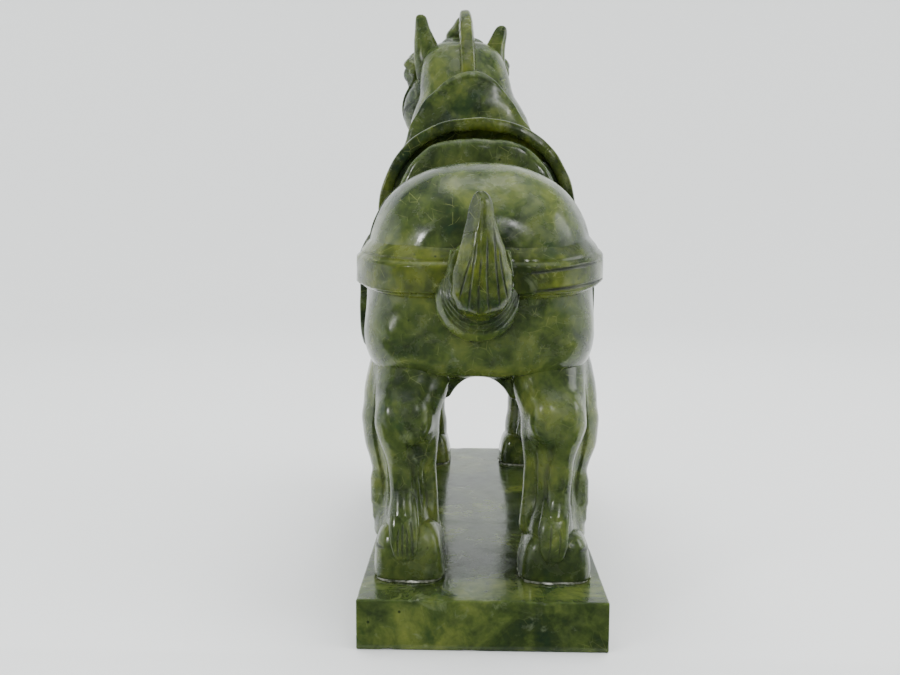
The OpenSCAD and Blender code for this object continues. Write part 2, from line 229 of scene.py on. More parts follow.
class Clay:
    """A block of signed distances in millimetres, negative inside."""

    def __init__(self, low, high, voxel, reach=0.0):
        """An empty block between two corners. Reach is how far past a shape its distances are kept."""
        self.voxel = voxel * 1.0
        self.reach = reach
        self.low = np.array(low, float)
        size = np.ceil((np.array(high, float) - self.low) / self.voxel).astype(int) + 1
        self.axes = [(self.low[i] + self.voxel * np.arange(size[i])).astype(np.float32) for i in range(3)]
        self.field = np.full(size, FAR, np.float32)
        self.waves = []
        self.lines = []

    @classmethod
    def copy_of(cls, other):
        """The same block with a field of its own, and no lines or unevenness yet."""
        twin = cls.__new__(cls)
        twin.__dict__ = dict(other.__dict__, field=other.field.copy(), waves=[], lines=[])
        return twin

    def window(self, low, high, pad):
        """The slices of the block around a shape's corners, and the grid places there."""
        cuts = tuple(
            slice(
                np.searchsorted(a, low[i] - pad), np.searchsorted(a, high[i] + pad)
            ) for i, a in enumerate(self.axes)
        )
        x, y, z = (a[c] for a, c in zip(self.axes, cuts))
        return cuts, (x[:, None, None], y[None, :, None], z[None, None, :])

    def change(self, shape, blend, rule):
        """Joins a shape's distances to the field by a rule, where the shape can reach."""
        low, high, distance = shape
        cuts, grid = self.window(low, high, blend + self.reach + 4 * self.voxel)
        if all(c.start < c.stop for c in cuts):
            self.field[cuts] = rule(self.field[cuts], distance(*grid), blend)
        return self

    def add(self, shape, blend=0.0):
        return self.change(shape, blend, smooth_min)

    def cut(self, shape, blend=0.0):
        return self.change(shape, blend, lambda a, b, k: smooth_max(a, -b, k))

    def grid(self):
        """The block's X, Y and Z places, shaped so that they combine into the whole block."""
        x, y, z = self.axes
        return x[:, None, None], y[None, :, None], z[None, None, :]

    def keep(self, distances, blend=0.0):
        """Leaves only what is also inside other distances over the whole block."""
        self.field = smooth_max(self.field, distances.astype(np.float32), blend)
        return self

    def polygons(self):
        """Points in grid steps, triangles and quads of the surface."""
        band = 3 * self.voxel
        block = openvdb.FloatGrid(band)
        block.copyFromArray(np.clip(self.field, -band, band))
        return block.convertToPolygons(0.0, 0.0)

    def even_out(self, band=18.0):
        """Replaces the field by true distances from its own surface, up to band millimetres."""
        points, triangles, quads = self.polygons()
        block = openvdb.FloatGrid.createLevelSetFromPolygons(
            points, triangles=triangles, quads=quads, transform=openvdb.createLinearTransform(1.0),
            halfWidth=band / self.voxel,
        )
        block.copyToArray(self.field)
        self.field *= self.voxel
        return self

    def sample(self, points):
        """Distances at any points, read between the grid's own."""
        at = (np.asarray(points, np.float32) - self.low.astype(np.float32)) / self.voxel
        last = np.array(self.field.shape) - 2
        cell = np.clip(np.floor(at).astype(np.int64), 0, last)
        f = np.clip(at - cell, 0, 1).astype(np.float32)
        flat = self.field.ravel()
        sx, sy, sz = (s // self.field.itemsize for s in self.field.strides)
        base = cell[:, 0] * sx + cell[:, 1] * sy + cell[:, 2] * sz
        out = np.zeros(len(at), np.float32)
        for dx in (0, 1):
            wx = f[:, 0] if dx else 1 - f[:, 0]
            for dy in (0, 1):
                wy = f[:, 1] if dy else 1 - f[:, 1]
                for dz in (0, 1):
                    wz = f[:, 2] if dz else 1 - f[:, 2]
                    out += wx * wy * wz * flat[base + dx * sx + dy * sy + dz * sz]
        return out

    def value(self, points):
        """Distances with the unevenness of a hand-carved surface."""
        out = self.sample(points)
        for direction, phase, height in self.waves:
            out += height * np.sin(points @ direction + phase)
        return out

    def uneven(self, height, length, count=9):
        """Gives the surface low random waves about length millimetres long."""
        for _ in range(count):
            direction = rng.normal(size=3)
            direction *= 2 * math.pi / (length * rng.uniform(0.7, 1.6)) / np.linalg.norm(direction)
            self.waves.append((direction, rng.uniform(0, 2 * math.pi), height / math.sqrt(count)))
        return self

    def slope(self, points):
        """The way out of the surface at any points, as unit vectors."""
        step = self.voxel * 0.8
        g = np.empty((len(points), 3))
        for i in range(3):
            off = np.zeros(3)
            off[i] = step
            g[:, i] = self.value(points + off) - self.value(points - off)
        return g / np.maximum(np.linalg.norm(g, axis=1), 1e-9)[:, None]

    def settle(self, points, rounds=4, offset=0.0):
        """Moves points along the slope onto the surface."""
        points = np.array(points, float)
        for _ in range(rounds):
            points -= self.slope(points) * np.clip(self.value(points) - offset, -2, 2)[:, None]
        return points

    def from_rear(self, points):
        """Moves points along Y onto the surface that is seen from behind."""
        points = np.array(points, float)
        reach = np.arange(self.axes[1][-1], self.axes[1][0], -0.5 * self.voxel)
        rows = np.repeat(points, len(reach), axis=0)
        rows[:, 1] = np.tile(reach, len(points))
        inside = self.sample(rows).reshape(len(points), len(reach)) < 0
        points[:, 1] = np.where(inside.any(1), reach[np.argmax(inside, axis=1)], points[:, 1])
        return points

    def incise(self, points, radius, depth=None, taper=0.35, dirt_and_shade=0.8, rear=False):
        """A carved line along the surface through a few points near it, thinning out at both ends."""
        line = through(points, max(radius * 1.2, 0.6))
        if rear:
            line = self.from_rear(line)
        line = self.settle(line, 1 if rear else 4, offset=radius - (depth or radius))
        way = np.linspace(0, 1, len(line))
        thin = taper + (1 - taper) * np.clip(np.minimum(way, 1 - way) * 6, 0, 1)
        # Each line keeps how dark its bottom is painted: soiling and painted shade together.
        self.lines.append((line, radius * thin, dirt_and_shade))
        return self.cut(tube(line, radius * thin, reach=1.5))

    def read(self, other):
        """Another clay's distances at this one's grid."""
        x, y, z = self.axes
        out = np.empty(self.field.shape, np.float32)
        yz = np.stack(np.meshgrid(y, z, indexing="ij"), -1).reshape(-1, 2)
        for i, one in enumerate(x):
            points = np.column_stack([np.full(len(yz), one, np.float32), yz])
            out[i] = other.sample(points).reshape(len(y), len(z))
        return out


# ---------------------------------------------------------------- from clay to mesh

def new_object(name, points, faces, material):
    """A mesh object from points and arrays of triangles and quads."""
    mesh = bpy.data.meshes.new(name)
    mesh.vertices.add(len(points))
    mesh.vertices.foreach_set("co", np.asarray(points, np.float32).ravel())
    sizes = np.concatenate([np.full(len(f), f.shape[1]) for f in faces if len(f)])
    corners = np.concatenate([f.ravel() for f in faces if len(f)]).astype(np.int32)
    mesh.loops.add(len(corners))
    mesh.loops.foreach_set("vertex_index", corners)
    mesh.polygons.add(len(sizes))
    mesh.polygons.foreach_set("loop_start", (np.cumsum(sizes) - sizes).astype(np.int32))
    mesh.polygons.foreach_set("use_smooth", np.ones(len(sizes), bool))
    mesh.update(calc_edges=True)
    mesh.validate()
    mesh.materials.append(material)
    piece = bpy.data.objects.new(name, mesh)
    bpy.context.collection.objects.link(piece)
    return piece


def thin_out(piece, most):
    """Brings the piece's mesh down to at most so many triangles."""
    piece.data.calc_loop_triangles()
    count = len(piece.data.loop_triangles)
    if count > most:
        bpy.context.view_layer.update()
        modifier = piece.modifiers.new("thin", "DECIMATE")
        modifier.ratio = most / count * 0.99
        graph = bpy.context.evaluated_depsgraph_get()
        mesh = bpy.data.meshes.new_from_object(piece.evaluated_get(graph), depsgraph=graph)
        piece.modifiers.clear()
        old, piece.data = piece.data, mesh
        bpy.data.meshes.remove(old)
        piece.data.name = piece.name


def coordinates(mesh):
    """The places of a mesh's points, one row each."""
    out = np.empty(len(mesh.vertices) * 3, np.float32)
    mesh.vertices.foreach_get("co", out)
    return out.reshape(-1, 3).astype(float)


def skin(name, clay, material, place=None):
    """A closed mesh of the clay's surface, with the clay's own slopes as its normals."""
    points, triangles, quads = clay.polygons()
    points = points.astype(float) * clay.voxel + clay.low
    piece = new_object(name, points, [triangles, quads], material)
    thin_out(piece, MOST_TRIANGLES)
    points = clay.settle(coordinates(piece.data), rounds=3)
    normals = clay.slope(points)
    local = points
    if place is not None:
        m = np.array(place)
        points = points @ m[:3, :3].T + m[:3, 3]
        normals = normals @ m[:3, :3].T
    piece.data.vertices.foreach_set("co", (points * MM).astype(np.float32).ravel())
    piece.data.update()
    piece.data.normals_split_custom_set_from_vertices(normals.astype(np.float32))
    # Darkening at the bottom of carved lines, soiling and painted shade together, kept on the points for the
    # material.
    dirt_and_shade = piece.data.attributes.new("groove_dirt_and_shade", "FLOAT", "POINT")
    dirt_and_shade.data.foreach_set("value", groove_dirt_and_shade_at(clay, local))
    return piece


def groove_dirt_and_shade_at(clay, points):
    """How much darkening each point holds, soiling and painted shade together: all of it at the bottom of a
    carved line, none away from the lines.
    """
    dirt_and_shade = np.zeros(len(points), np.float32)
    for line, radii, most in clay.lines:
        low, high = line.min(0) - 2, line.max(0) + 2
        near = np.flatnonzero(np.all((points > low) & (points < high), axis=1))
        if not len(near):
            continue
        away = np.full(len(near), FAR)
        for spot, radius in zip(line, radii):
            away = np.minimum(away, np.linalg.norm(points[near] - spot, axis=1) / (radius * 1.25))
        dirt_and_shade[near] = np.maximum(dirt_and_shade[near], most * np.clip(1.6 - away, 0, 1))
    return dirt_and_shade


def finish_piece(piece, slot, *nodes):
    """Says which body the piece rides on and which nodes it stands for; the finish slot it is given is not
    used.
    """
    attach(piece, "root")
    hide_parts(*nodes)


# ---------------------------------------------------------------- the horse's masses

def spine(y):
    """How far the backbone lies to the horse's left."""
    return np.interp(y, [-90, -60, -42, 15, 60, 100], [10, 6.5, 4.5, 2.6, 1.8, 0.8])


def trunk_shape(grow=0.0, power=2.4, low_power=4.5):
    """The trunk from buttocks to chest. A row is the place, half width, underside and top."""
    outline = [
        (98.4, 4, 118, 135), (97.4, 16, 104, 145), (94.8, 26.5, 96, 153), (88, 36, 91.5, 161.5),
        (78, 41.2, 89.5, 168.5), (66, 43.8, 88.5, 172), (50, 44.8, 88, 173), (30, 45.2, 89, 172),
        (8, 45.8, 90, 170), (-18, 45.6, 90, 171), (-42, 44, 91, 174), (-60, 40, 95, 172),
        (-75, 33.5, 105, 166), (-85, 26, 116, 158), (-90.5, 16, 127, 149), (-92.6, 4, 135, 141),
    ]
    rows = [
        (y, float(spine(y)), (lo + hi) / 2, w + grow, (hi - lo) / 2 + grow) for y, w, lo, hi in outline
    ]
    return stack(1, rows, power, low_power)


def neck_shape():
    """The neck, from inside the shoulders up to the poll."""
    return stack(2, [
        (140, 3, -52, 34, 34), (152, 3.5, -56, 36, 35), (165, 4, -59, 34.5, 33),
        (180, 5, -62.5, 32, 29.5), (195, 6, -66.5, 32.5, 26.5), (203, 6.5, -69, 31, 25.4),
        (211, 7.4, -71.5, 28, 24), (219, 8.4, -74.5, 24.8, 22.6), (230, 9.6, -78, 23.4, 20.6),
        (239, 10.6, -81.5, 21.2, 17.4), (244.4, 11, -84, 17.6, 13.6), (247.2, 11, -85.4, 12, 9),
        (248.4, 11, -86, 6, 5),
    ])


OUTWARD = {("hind", LEFT): 1.0, ("hind", RIGHT): -1.0, ("front", LEFT): 1.6, ("front", RIGHT): -2.0}


def mirrored(rows, side, outward):
    """A left leg's rows of height, centre X and Y and half widths, moved outward and put on a side."""
    return [(z, side * (cx + outward), cy, hx, hy) for z, cx, cy, hx, hy in rows]


def placer(side, outward):
    """A function that does the same to a left leg's point."""
    return lambda x, y, z: (side * (x + outward), y, z)


# The round opening between the hind legs, threaded through them from front to rear.
ARCH = stack(1, [(y, 1.2, 74, 13, 17) for y in (30, 60, 104)])


def trunk_clay():
    """The trunk with the haunches that overhang the hind legs, without the neck."""
    clay = Clay((-66, -112, 76), (70, 114, 256), 0.85, reach=90)
    clay.add(trunk_shape())
    for side in (LEFT, RIGHT):
        hip = OUTWARD["hind", side]
        shoulder = OUTWARD["front", side]
        clay.add(ball((side * 28.8 + 1.8, 72, 106.5), (15, 23, 18)), 5)
        clay.add(ball((side * (23.6 + hip), 61, 116), (17.6, 31, 26)), 5)
        clay.add(ball((side * 19.6 + 1, 66, 90.5), (12.5, 18, 11.8)), 3)
        clay.add(ball((side * (26 + shoulder) + 1, -64, 128), (18.5, 25, 34), (8, 0, 0)), 12)
    clay.add(brick((-13.5, 60, 81.5), (15.5, 82, 98), 3), 3)
    clay.cut(ARCH, 2)
    return clay


def body_clays():
    """The trunk alone and the trunk with the neck, both as true distances."""
    trunk = trunk_clay()
    whole = Clay.copy_of(trunk)
    whole.add(neck_shape(), 16)
    whole.add(ball((4.5, -80, 146), (22, 14, 20)), 10)
    return trunk.even_out(), whole.even_out()


def shoulder_lines(clay, side):
    """The carved edge of the shoulder blade and a fold where the neck meets it."""
    out = OUTWARD["front", side]
    blade = [
        (side * (43 + out), -38, 150), (side * (44 + out), -46, 132), (side * (42 + out), -52, 114),
        (side * 38, -58, 100),
    ]
    fold = [(side * 30, -78, 160), (side * 36, -72, 172), (side * 34, -68, 186), (side * 27, -70, 200)]
    clay.incise(blade, 1.1, 0.7)
    clay.incise(fold, 1.0, 0.6)


def add_body(stone):
    """Makes the trunk and neck, and returns their clays for the saddle and harness to lie on."""
    trunk, whole = body_clays()
    clay = Clay.copy_of(whole)
    for side in (LEFT, RIGHT):
        shoulder_lines(clay, side)
    finish_piece(skin("horse_body", clay.uneven(0.16, 24), stone), "carved_stone", "trunk", "neck")
    return trunk, whole


# ---------------------------------------------------------------- legs and hooves

def hind_leg_clay(side):
    """Shin and thigh as one stack, the hock and tendon as another behind it, and the bones that show."""
    out = OUTWARD["hind", side]
    front = mirrored([
        (112, 22, 60, 16, 26), (100, 23, 63, 19, 24), (94, 24, 65, 19.9, 22),
        (90, 25.5, 66.5, 19.2, 20.6), (86.5, 27.2, 68, 18.0, 19.4), (83, 28.6, 69.6, 16.8, 18.2),
        (79, 30, 71.2, 15.5, 16.6), (73, 31.4, 73.5, 14.6, 14.5), (65, 31.2, 75.5, 13.6, 12.6),
        (58, 30.2, 76.5, 12.2, 11.2), (50, 29.6, 77.5, 10.9, 10.6), (43, 29, 78.5, 11, 12),
        (36, 28.5, 80, 12, 13.6), (31, 28.5, 81, 12, 13.6),
    ], side, out)
    rear = mirrored([
        (104, 24.5, 72, 14, 15), (94, 25, 77.5, 14.6, 15), (86, 26, 82.6, 13.6, 14),
        (79, 27, 86.6, 12.3, 13), (73.5, 27.4, 88.5, 11.4, 12.4), (66, 27.4, 87, 9.4, 11),
        (57, 27.2, 85.4, 8.0, 10.4), (48, 27.2, 85.8, 7.4, 10.4), (41, 27, 88, 8.2, 12.2),
        (34, 27, 90, 9, 12.4), (31, 27, 90, 9, 12),
    ], side, out)
    low, high = (10, 52, 29.5), (52, 112, 116)
    if side == RIGHT:
        low, high = (-50, 52, 29.5), (-8, 112, 116)
    clay = Clay(low, high, 0.5)
    clay.add(stack(2, front)).add(stack(2, rear), 2.2)
    at = placer(side, out)
    clay.add(ball(at(32.4, 95.2, 76), (4.6, 4.8, 8.6)), 6)
    clay.add(ball(at(23.8, 97.2, 77.5), (4.2, 3.6, 7.0)), 6)
    for points, radii, blend in (
        ([(32, 97, 70), (30.5, 94, 60), (29.3, 94, 50), (28.5, 97, 41)], [3.2, 3.0, 3.2, 4.2], 4),
        ([(21.5, 92, 84), (18.5, 88, 70), (19.2, 86, 58), (18.6, 87, 44), (18, 88, 36)],
         [3, 2.8, 2.6, 3.0, 3], 4),
        ([(37.6, 80, 50), (38.4, 81.5, 43), (39.6, 83, 37.4)], [4.2, 3.4, 0.9], 3),
    ):
        clay.add(tube([at(*point) for point in points], radii), blend)
    return clay, at


def leg_lines(clay, at, side):
    """Tendon groove, folds behind the hock and strokes of hair."""

    def carve(points, radius, depth, dirt_and_shade):
        clay.incise([at(*point) for point in points], radius, depth, dirt_and_shade=dirt_and_shade, rear=True)

    carve([(26.6, 101, 70), (25.6, 97, 64), (24.6, 95, 56), (24, 96, 46), (23.6, 99, 40)], 0.9, 0.6, 0.3)
    outer = [(39.6, 86, 90), (39.8, 88, 80), (39.6, 87, 70), (38, 86, 60), (36.2, 86, 50), (36.6, 88, 42)]
    carve(outer, 0.9, 0.6, 0.25)
    if side == LEFT:
        clay.cut(ball(at(21.4, 97.5, 64), (4.4, 3.6, 5.4), (0, 18, 0)), 1.6)
        for shift in (0.0, 1.7, 3.3):
            carve([(24.6 - shift, 94, 58), (23.6 - shift, 94, 50), (22.8 - shift, 96, 42)],
                  0.45, 0.35, 0.4)
    else:
        carve([(20.6, 96, 66), (21, 94, 56), (20.4, 95, 46), (19.6, 97, 40)], 0.7, 0.5, 0.3)


def tuft_clay(side, at):
    """The lock of hair that hangs behind the pastern over the hoof."""
    lean = 0.0 if side == LEFT else -0.6
    rows = [
        (48, 27.8, 93, 4.2, 3.4), (43.5, 27.8, 96.6, 5.2, 3.6), (38, 27.6 + lean, 100, 5.6, 3.2),
        (32.4, 27.4 + lean, 102.2, 5.2, 2.4), (29, 27.2 + lean, 103, 4.4, 1.9),
        (26.8, 27.2 + lean, 103.4, 3.2, 1.3),
    ]
    rows = [(z, *at(cx, cy, z)[:2], hx, hy) for z, cx, cy, hx, hy in rows]
    middle = at(27.2, 103, 30)
    clay = Clay((middle[0] - 9, 86, 24), (middle[0] + 9, 109, 49), 0.3)
    clay.add(stack(2, rows, 2.6))
    gaps, radius = ((-2.9, -1.0, 0.7, 2.5), 0.34) if side == LEFT else ((-1.6, 1.9), 0.24)
    for k, gap in enumerate(gaps):
        top = 40 - 2.2 * (k % 2)
        stroke = [
            at(27.4 + gap * 0.8, 104, top), at(27.2 + gap, 107, 34), at(27.1 + gap + lean, 108, 28.6),
        ]
        clay.incise(stroke, radius, radius, 0.5, 0.5, rear=True)
    return clay


def add_hind_leg(side, stone):
    """A hind leg and the tuft of hair behind its pastern."""
    name = SIDE_NAME[side]
    clay, at = hind_leg_clay(side)
    leg_lines(clay, at, side)
    finish_piece(
        skin(f"hind_leg_{name}", clay.uneven(0.14, 16), stone), "carved_stone", f"leg_hind_{name}"
    )
    finish_piece(
        skin(f"hind_fetlock_{name}", tuft_clay(side, at), stone), "carved_stone", f"leg_hind_{name}"
    )


def add_front_leg(side, stone):
    """A foreleg with its knee, tendon, ergot and the carved lines on them."""
    name = SIDE_NAME[side]
    out = OUTWARD["front", side]
    rows = mirrored([
        (128, 26, -66, 14, 20), (116, 27, -70, 16, 20), (104, 27.6, -75, 15.6, 18.5),
        (94, 27.8, -79, 13.8, 15.6), (86, 28, -82.5, 12.4, 13.4), (76, 28, -85.5, 12.8, 13.6),
        (68, 28, -86, 11.6, 12.3), (58, 27.6, -86.5, 9.8, 10.4), (48, 27.5, -87.5, 9.8, 10.6),
        (41, 27.8, -88.5, 11.0, 12.8), (35, 28, -89.5, 11.4, 13), (31, 28, -90, 11, 12.5),
    ], side, out)
    at = placer(side, out)
    middle = side * (28 + out)
    clay = Clay((middle - 19, -108, 29.5), (middle + 19, -46, 130), 0.6)
    clay.add(stack(2, rows))
    clay.add(ball(at(28, -98, 77), (8, 4.4, 7.4)), 4)
    clay.add(ball(at(17.6, -86, 76), (3.4, 6, 5.4)), 3)
    clay.add(tube([at(27.6, -76, 62), at(27.4, -76.5, 50), at(27.6, -75.5, 42)], [3, 3, 4]), 3)
    clay.add(ball(at(27.6, -73, 38), (5.4, 3.8, 6), (20, 0, 0)), 2)
    hair = [
        ([(27.6 + gap * 0.5, -72, 44), (27.6 + gap, -69, 37), (27.6 + gap, -71, 33)], 0.6, 0.5)
        for gap in (-3, 0, 3)
    ]
    for points, radius, depth in (
        *hair,
        ([(36.5, -96, 86), (39.8, -90, 78), (37, -90, 68)], 0.8, 0.55),
        ([(20, -97, 84), (28, -102, 86), (36, -97, 84)], 0.8, 0.5),
        ([(21, -97, 69), (28, -101, 67.5), (35, -97, 69)], 0.8, 0.5),
        ([(19.4, -76, 100), (20, -76, 86), (20.4, -78, 74), (21, -78.5, 60)], 0.8, 0.5),
    ):
        clay.incise([at(*point) for point in points], radius, depth)
    finish_piece(
        skin(f"front_leg_{name}", clay.uneven(0.14, 16), stone), "carved_stone", f"leg_front_{name}"
    )


# How square the hooves and their adhesive beds are from above: 2 is an ellipse.
HOOF_POWER = 4.2


def oval_edge(angle, power):
    """The place at an angle on the edge of a squarish oval whose half widths are 1."""
    c, s = math.cos(angle), math.sin(angle)
    reach = (abs(c) ** power + abs(s) ** power) ** (-1 / power)
    return reach * c, reach * s


def add_hoof(end, side, stone):
    """A blocky hoof with a rounded crown and a slightly worn edge."""
    name = f"{end}_{SIDE_NAME[side]}"
    low, high = node_box(f"hoof_{name}")
    (cx, cy), (hx, hy) = ((low + high) / 2)[:2], ((high - low) / 2)[:2]
    toe = -1.2
    top = 39.6 if name == "hind_left" else 36.6
    rows = [
        (low[2] + 0.1, cx, cy, hx, hy), (24, cx, cy - toe * 0.2, hx - 0.3, hy - 0.4),
        (top - 9.6, cx, cy - toe * 0.8, hx - 0.9, hy - 1.4),
        (top - 5.6, cx, cy - toe, hx - 1.9, hy - 2.6),
        (top - 2.6, cx, cy - toe, hx - 3.6, hy - 4.4), (top - 0.8, cx, cy - toe, hx - 6.0, hy - 6.6),
        (top, cx, cy - toe, hx - 9, hy - 9),
    ]
    clay = Clay(low - 1, (high[0] + 1, high[1] + 1, top + 1), 0.5)
    clay.add(stack(2, rows, HOOF_POWER))
    clay.cut(brick(low - (3, 3, 6), (high[0] + 3, high[1] + 3, low[2] + 0.1)), 0.5)
    rear = 1 if end == "hind" else -1
    coronet = [
        (cx + side * hx, cy - rear * 6, 30.6), (cx + side * hx, cy + rear * (hy - 6), 31),
        (cx + side * (hx - 4), cy + rear * hy, 31),
    ]
    clay.incise(coronet, 0.6, 0.35)
    finish_piece(
        skin(f"{end}_hoof_{SIDE_NAME[side]}", clay.uneven(0.13, 14), stone), "carved_stone",
        f"hoof_{name}"
    )


def add_glue(end, side, material):
    """A hoof's smear of adhesive: a thin bed with beads squeezed out unevenly round the edge."""
    name = f"{end}_{SIDE_NAME[side]}"
    low, high = node_box(f"glue_bed_{name}")
    (cx, cy), (hx, hy) = ((low + high) / 2)[:2], ((high - low) / 2)[:2]
    clay = Clay(low - (1, 1, 0.6), high + (1, 1, 1.4), 0.26)
    inset = 1.5
    bed = [(z, cx, cy, hx - inset, hy - inset) for z in (low[2], high[2] + 0.2)]
    clay.add(stack(2, bed, HOOF_POWER))
    waves = (2, 5, 9, 14)
    phases = rng.uniform(0, 2 * math.pi, len(waves))
    edge, bead = [], []
    for a in np.linspace(0, 2 * math.pi, 120):
        across, along = oval_edge(a, HOOF_POWER)
        swell = sum(math.sin(n * a + p) for n, p in zip(waves, phases)) / len(waves)
        edge.append((cx + (hx - 0.9) * across, cy + (hy - 0.9) * along, low[2] + 0.3 + 0.3 * swell))
        bead.append(0.05 + 0.62 * swell)
    clay.add(tube(edge, np.clip(bead, 0.02, 0.55), reach=1.0), 0.3)
    clay.cut(brick(low - 4, (high[0] + 4, high[1] + 4, low[2])))
    finish_piece(skin(f"glue_{name}", clay.uneven(0.06, 4), material), "adhesive", f"glue_bed_{name}")


# ---------------------------------------------------------------- tail

def add_tail_knot(stone):
    """A coiled knot with strands swept round it and down from its top."""
    knot = Clay((-16, 84, 102), (22, 113, 144), 0.32)
    knot.add(ball((2.6, 98.5, 121), (15.3, 10.4, 15.2)))
    knot.add(ball((2.2, 98, 133), (11.4, 8.2, 9)), 4)
    knot.add(ball((1.5, 101, 138), (7, 7, 4.5)), 4)
    cradle = [
        (-8.4, 104, 138), (-8.6, 108.5, 130), (-4.6, 110.6, 121.4), (1.6, 111, 117.4),
        (7.8, 110.6, 121.4), (11.8, 108.5, 130), (11.6, 104, 138),
    ]
    knot.add(tube(cradle, [0.6, 1.5, 1.9, 2.0, 1.9, 1.5, 0.6]), 4)
    # These cuts and the strands below are darkened lightly at the bottom: painted shade.
    for k in range(5):
        line = []
        for step in range(11):
            a = math.radians(160 + step * 22)
            x, z = 1.9 + (11.6 + 0.75 * k) * math.cos(a), 128.6 + (11.2 + 1.9 * k) * math.sin(a)
            line.append((x, 110, z))
        knot.incise(line[k % 2:11 - k // 2], 0.75, 0.6, dirt_and_shade=0.35, rear=True)
    for side in (LEFT, RIGHT):
        for k in range(3):
            out = 1.9 * k
            line = [
                (2 + side * (8.2 + 1.7 * k), 110, 140 - k), (2 + side * (10.4 + out), 110, 134),
                (2 + side * (10.8 + out), 110, 126),
            ]
            knot.incise(line, 0.5, 0.4, dirt_and_shade=0.3, rear=True)
    finish_piece(skin("tail_knot", knot.uneven(0.12, 8), stone), "carved_stone", "tail_knot")


def add_tail_tip(thin):
    """The upturned leaf-shaped end of the tail over the knot, with a chip near the top and a fan of cuts."""
    tip = Clay((-13, 98, 112), (16, 121, 161), 0.3)
    rows = [
        (114.6, 1.6, 108, 3, 2.2), (116.6, 1.5, 109.6, 6.2, 4.0), (119.4, 1.3, 110.8, 8.6, 5.2),
        (124, 1.0, 111.8, 10.4, 5.9), (129, 0.9, 112, 10.5, 5.7), (135, 1.0, 111.6, 9.0, 5.0),
        (142, 1.2, 110.9, 7.0, 4.3), (149, 1.4, 110.2, 5.0, 3.6), (154, 1.5, 109.8, 3.9, 3.0),
        (157.4, 1.5, 109.6, 2.8, 2.3), (158.9, 1.5, 109.5, 1.3, 1.3),
    ]
    tip.add(stack(2, rows, 2.0))
    ridge = [(1.4, 112.6, 155), (2.4, 115.2, 140), (2.2, 116.4, 128), (1.6, 114.4, 119)]
    tip.add(tube(ridge, [0.8, 1.0, 1.4, 1.2]), 5)
    chip_place = Matrix.Translation((6.0, 113.5, 152)) @ Euler((0.28, 0.25, -0.75)).to_matrix().to_4x4()
    tip.cut(moved(brick((-4, -2.2, -7), (4, 2.2, 7), 0.3), chip_place), 0.3)
    for top, bottom, high, low in (
        (4.2, 8.6, 138, 122), (2.8, 5.6, 142, 118.6), (1.4, 2.2, 136, 117.2), (-0.6, -1.4, 143, 117.2),
        (-2.8, -5.2, 148, 119), (-4.6, -7.8, 139, 122),
    ):
        mid = (top + bottom) / 2 + 0.3
        stroke = [(top, 119, high), (mid, 120, (high + low) / 2), (bottom, 118, low)]
        tip.incise(stroke, 0.3, 0.26, 0.4, 0.8, rear=True)
    finish_piece(skin("tail_tip", tip.uneven(0.1, 9), thin), "thin_stone", "tail_tip")


# ---------------------------------------------------------------- harness straps

def strap_profile(z, middle, half, proud):
    """How far a strap stands out at a height: a flat face between a broad upper and a short lower bevel."""
    return np.interp(
        z - middle,
        [-half - 3.5, -half, -half + 2.6, half - 6.4, half - 0.6, half + 3.0],
        [-2.5, -0.2, proud, proud, 0.5, -2.5],
    )


def strap_clay(body, low, high, middle_at, half, proud, grooves):
    """A strap lying on the body: a groove is its place across the strap, its width and its depth."""
    clay = Clay(low, high, 0.42)
    depth = clay.read(body)
    x, y, z = clay.grid()
    middle = middle_at(x, y)
    out = strap_profile(z, middle, half, proud)
    for place, width, deep in grooves:
        out = out - deep * np.exp(-(((z - middle - place) / width) ** 2))
    clay.field = np.maximum(depth - out, -depth - 4).astype(np.float32)
    return clay


def add_crupper(body, material):
    """The strap round the rump, higher towards the tail and on the right, with its cut lines."""
    def middle_at(x, y):
        rise = np.interp(y, [25, 60, 80, 97], [4.8, 3.9, 2.6, 0])
        return 130.2 + rise * (0.8 + 0.5 * (x < 0))

    clay = strap_clay(
        body, (-53, 24, 112), (57, 108, 150), middle_at, 9.2, 4.3,
        [(4.4, 0.6, 0.5), (-7.4, 0.5, 0.7)],
    )
    clay.incise([(-15, 104, 130.6), (-30, 99, 132.4), (-45, 84, 135.0)], 0.42, 0.42, 0.3, 0.95, rear=True)
    clay.incise([(-18, 104, 124.3), (-31, 98, 125.6), (-46, 82, 128.2)], 0.4, 0.4, 0.3, 0.95, rear=True)
    clay.incise([(22, 104, 135.2), (34, 98, 136), (48, 84, 137.6)], 0.3, 0.25, 0.4, 0.4, rear=True)
    clay.keep(28.5 - clay.grid()[1], 0.8)
    finish_piece(skin("crupper_strap", clay.uneven(0.12, 12), material), "thin_stone", "crupper_strap")


def add_breast_strap(body, material):
    """A level strap round the chest with nine round studs."""
    clay = strap_clay(
        body, (-50, -101, 112), (57, -42, 150), lambda x, y: 131, 8.6, 3.6,
        [(3.4, 0.42, 0.7), (-6.6, 0.42, 0.7)],
    )
    clay.keep(clay.grid()[1] + 49.5, 0.8)
    for k in range(-4, 5):
        a = math.radians(k * 21)
        spot = clay.settle([(6 + 40 * math.sin(a), -64 - 34 * math.cos(a), 129.5)], 12)[0]
        clay.add(ball(spot, (2.6, 2.6, 2.6)), 0.8)
    finish_piece(skin("breast_strap", clay.uneven(0.12, 12), material), "thin_stone", "breast_strap")


# ---------------------------------------------------------------- saddle

def rounded_plate(y, z, y_span, z_span, corner):
    """Distance inside a plate's side outline with rounded corners."""
    my, mz = (y_span[0] + y_span[1]) / 2, (z_span[0] + z_span[1]) / 2
    qy = np.abs(y - my) - (y_span[1] - y_span[0]) / 2 + corner
    qz = np.abs(z - mz) - (z_span[1] - z_span[0]) / 2 + corner
    return np.hypot(np.maximum(qy, 0), np.maximum(qz, 0)) + np.minimum(np.maximum(qy, qz), 0) - corner


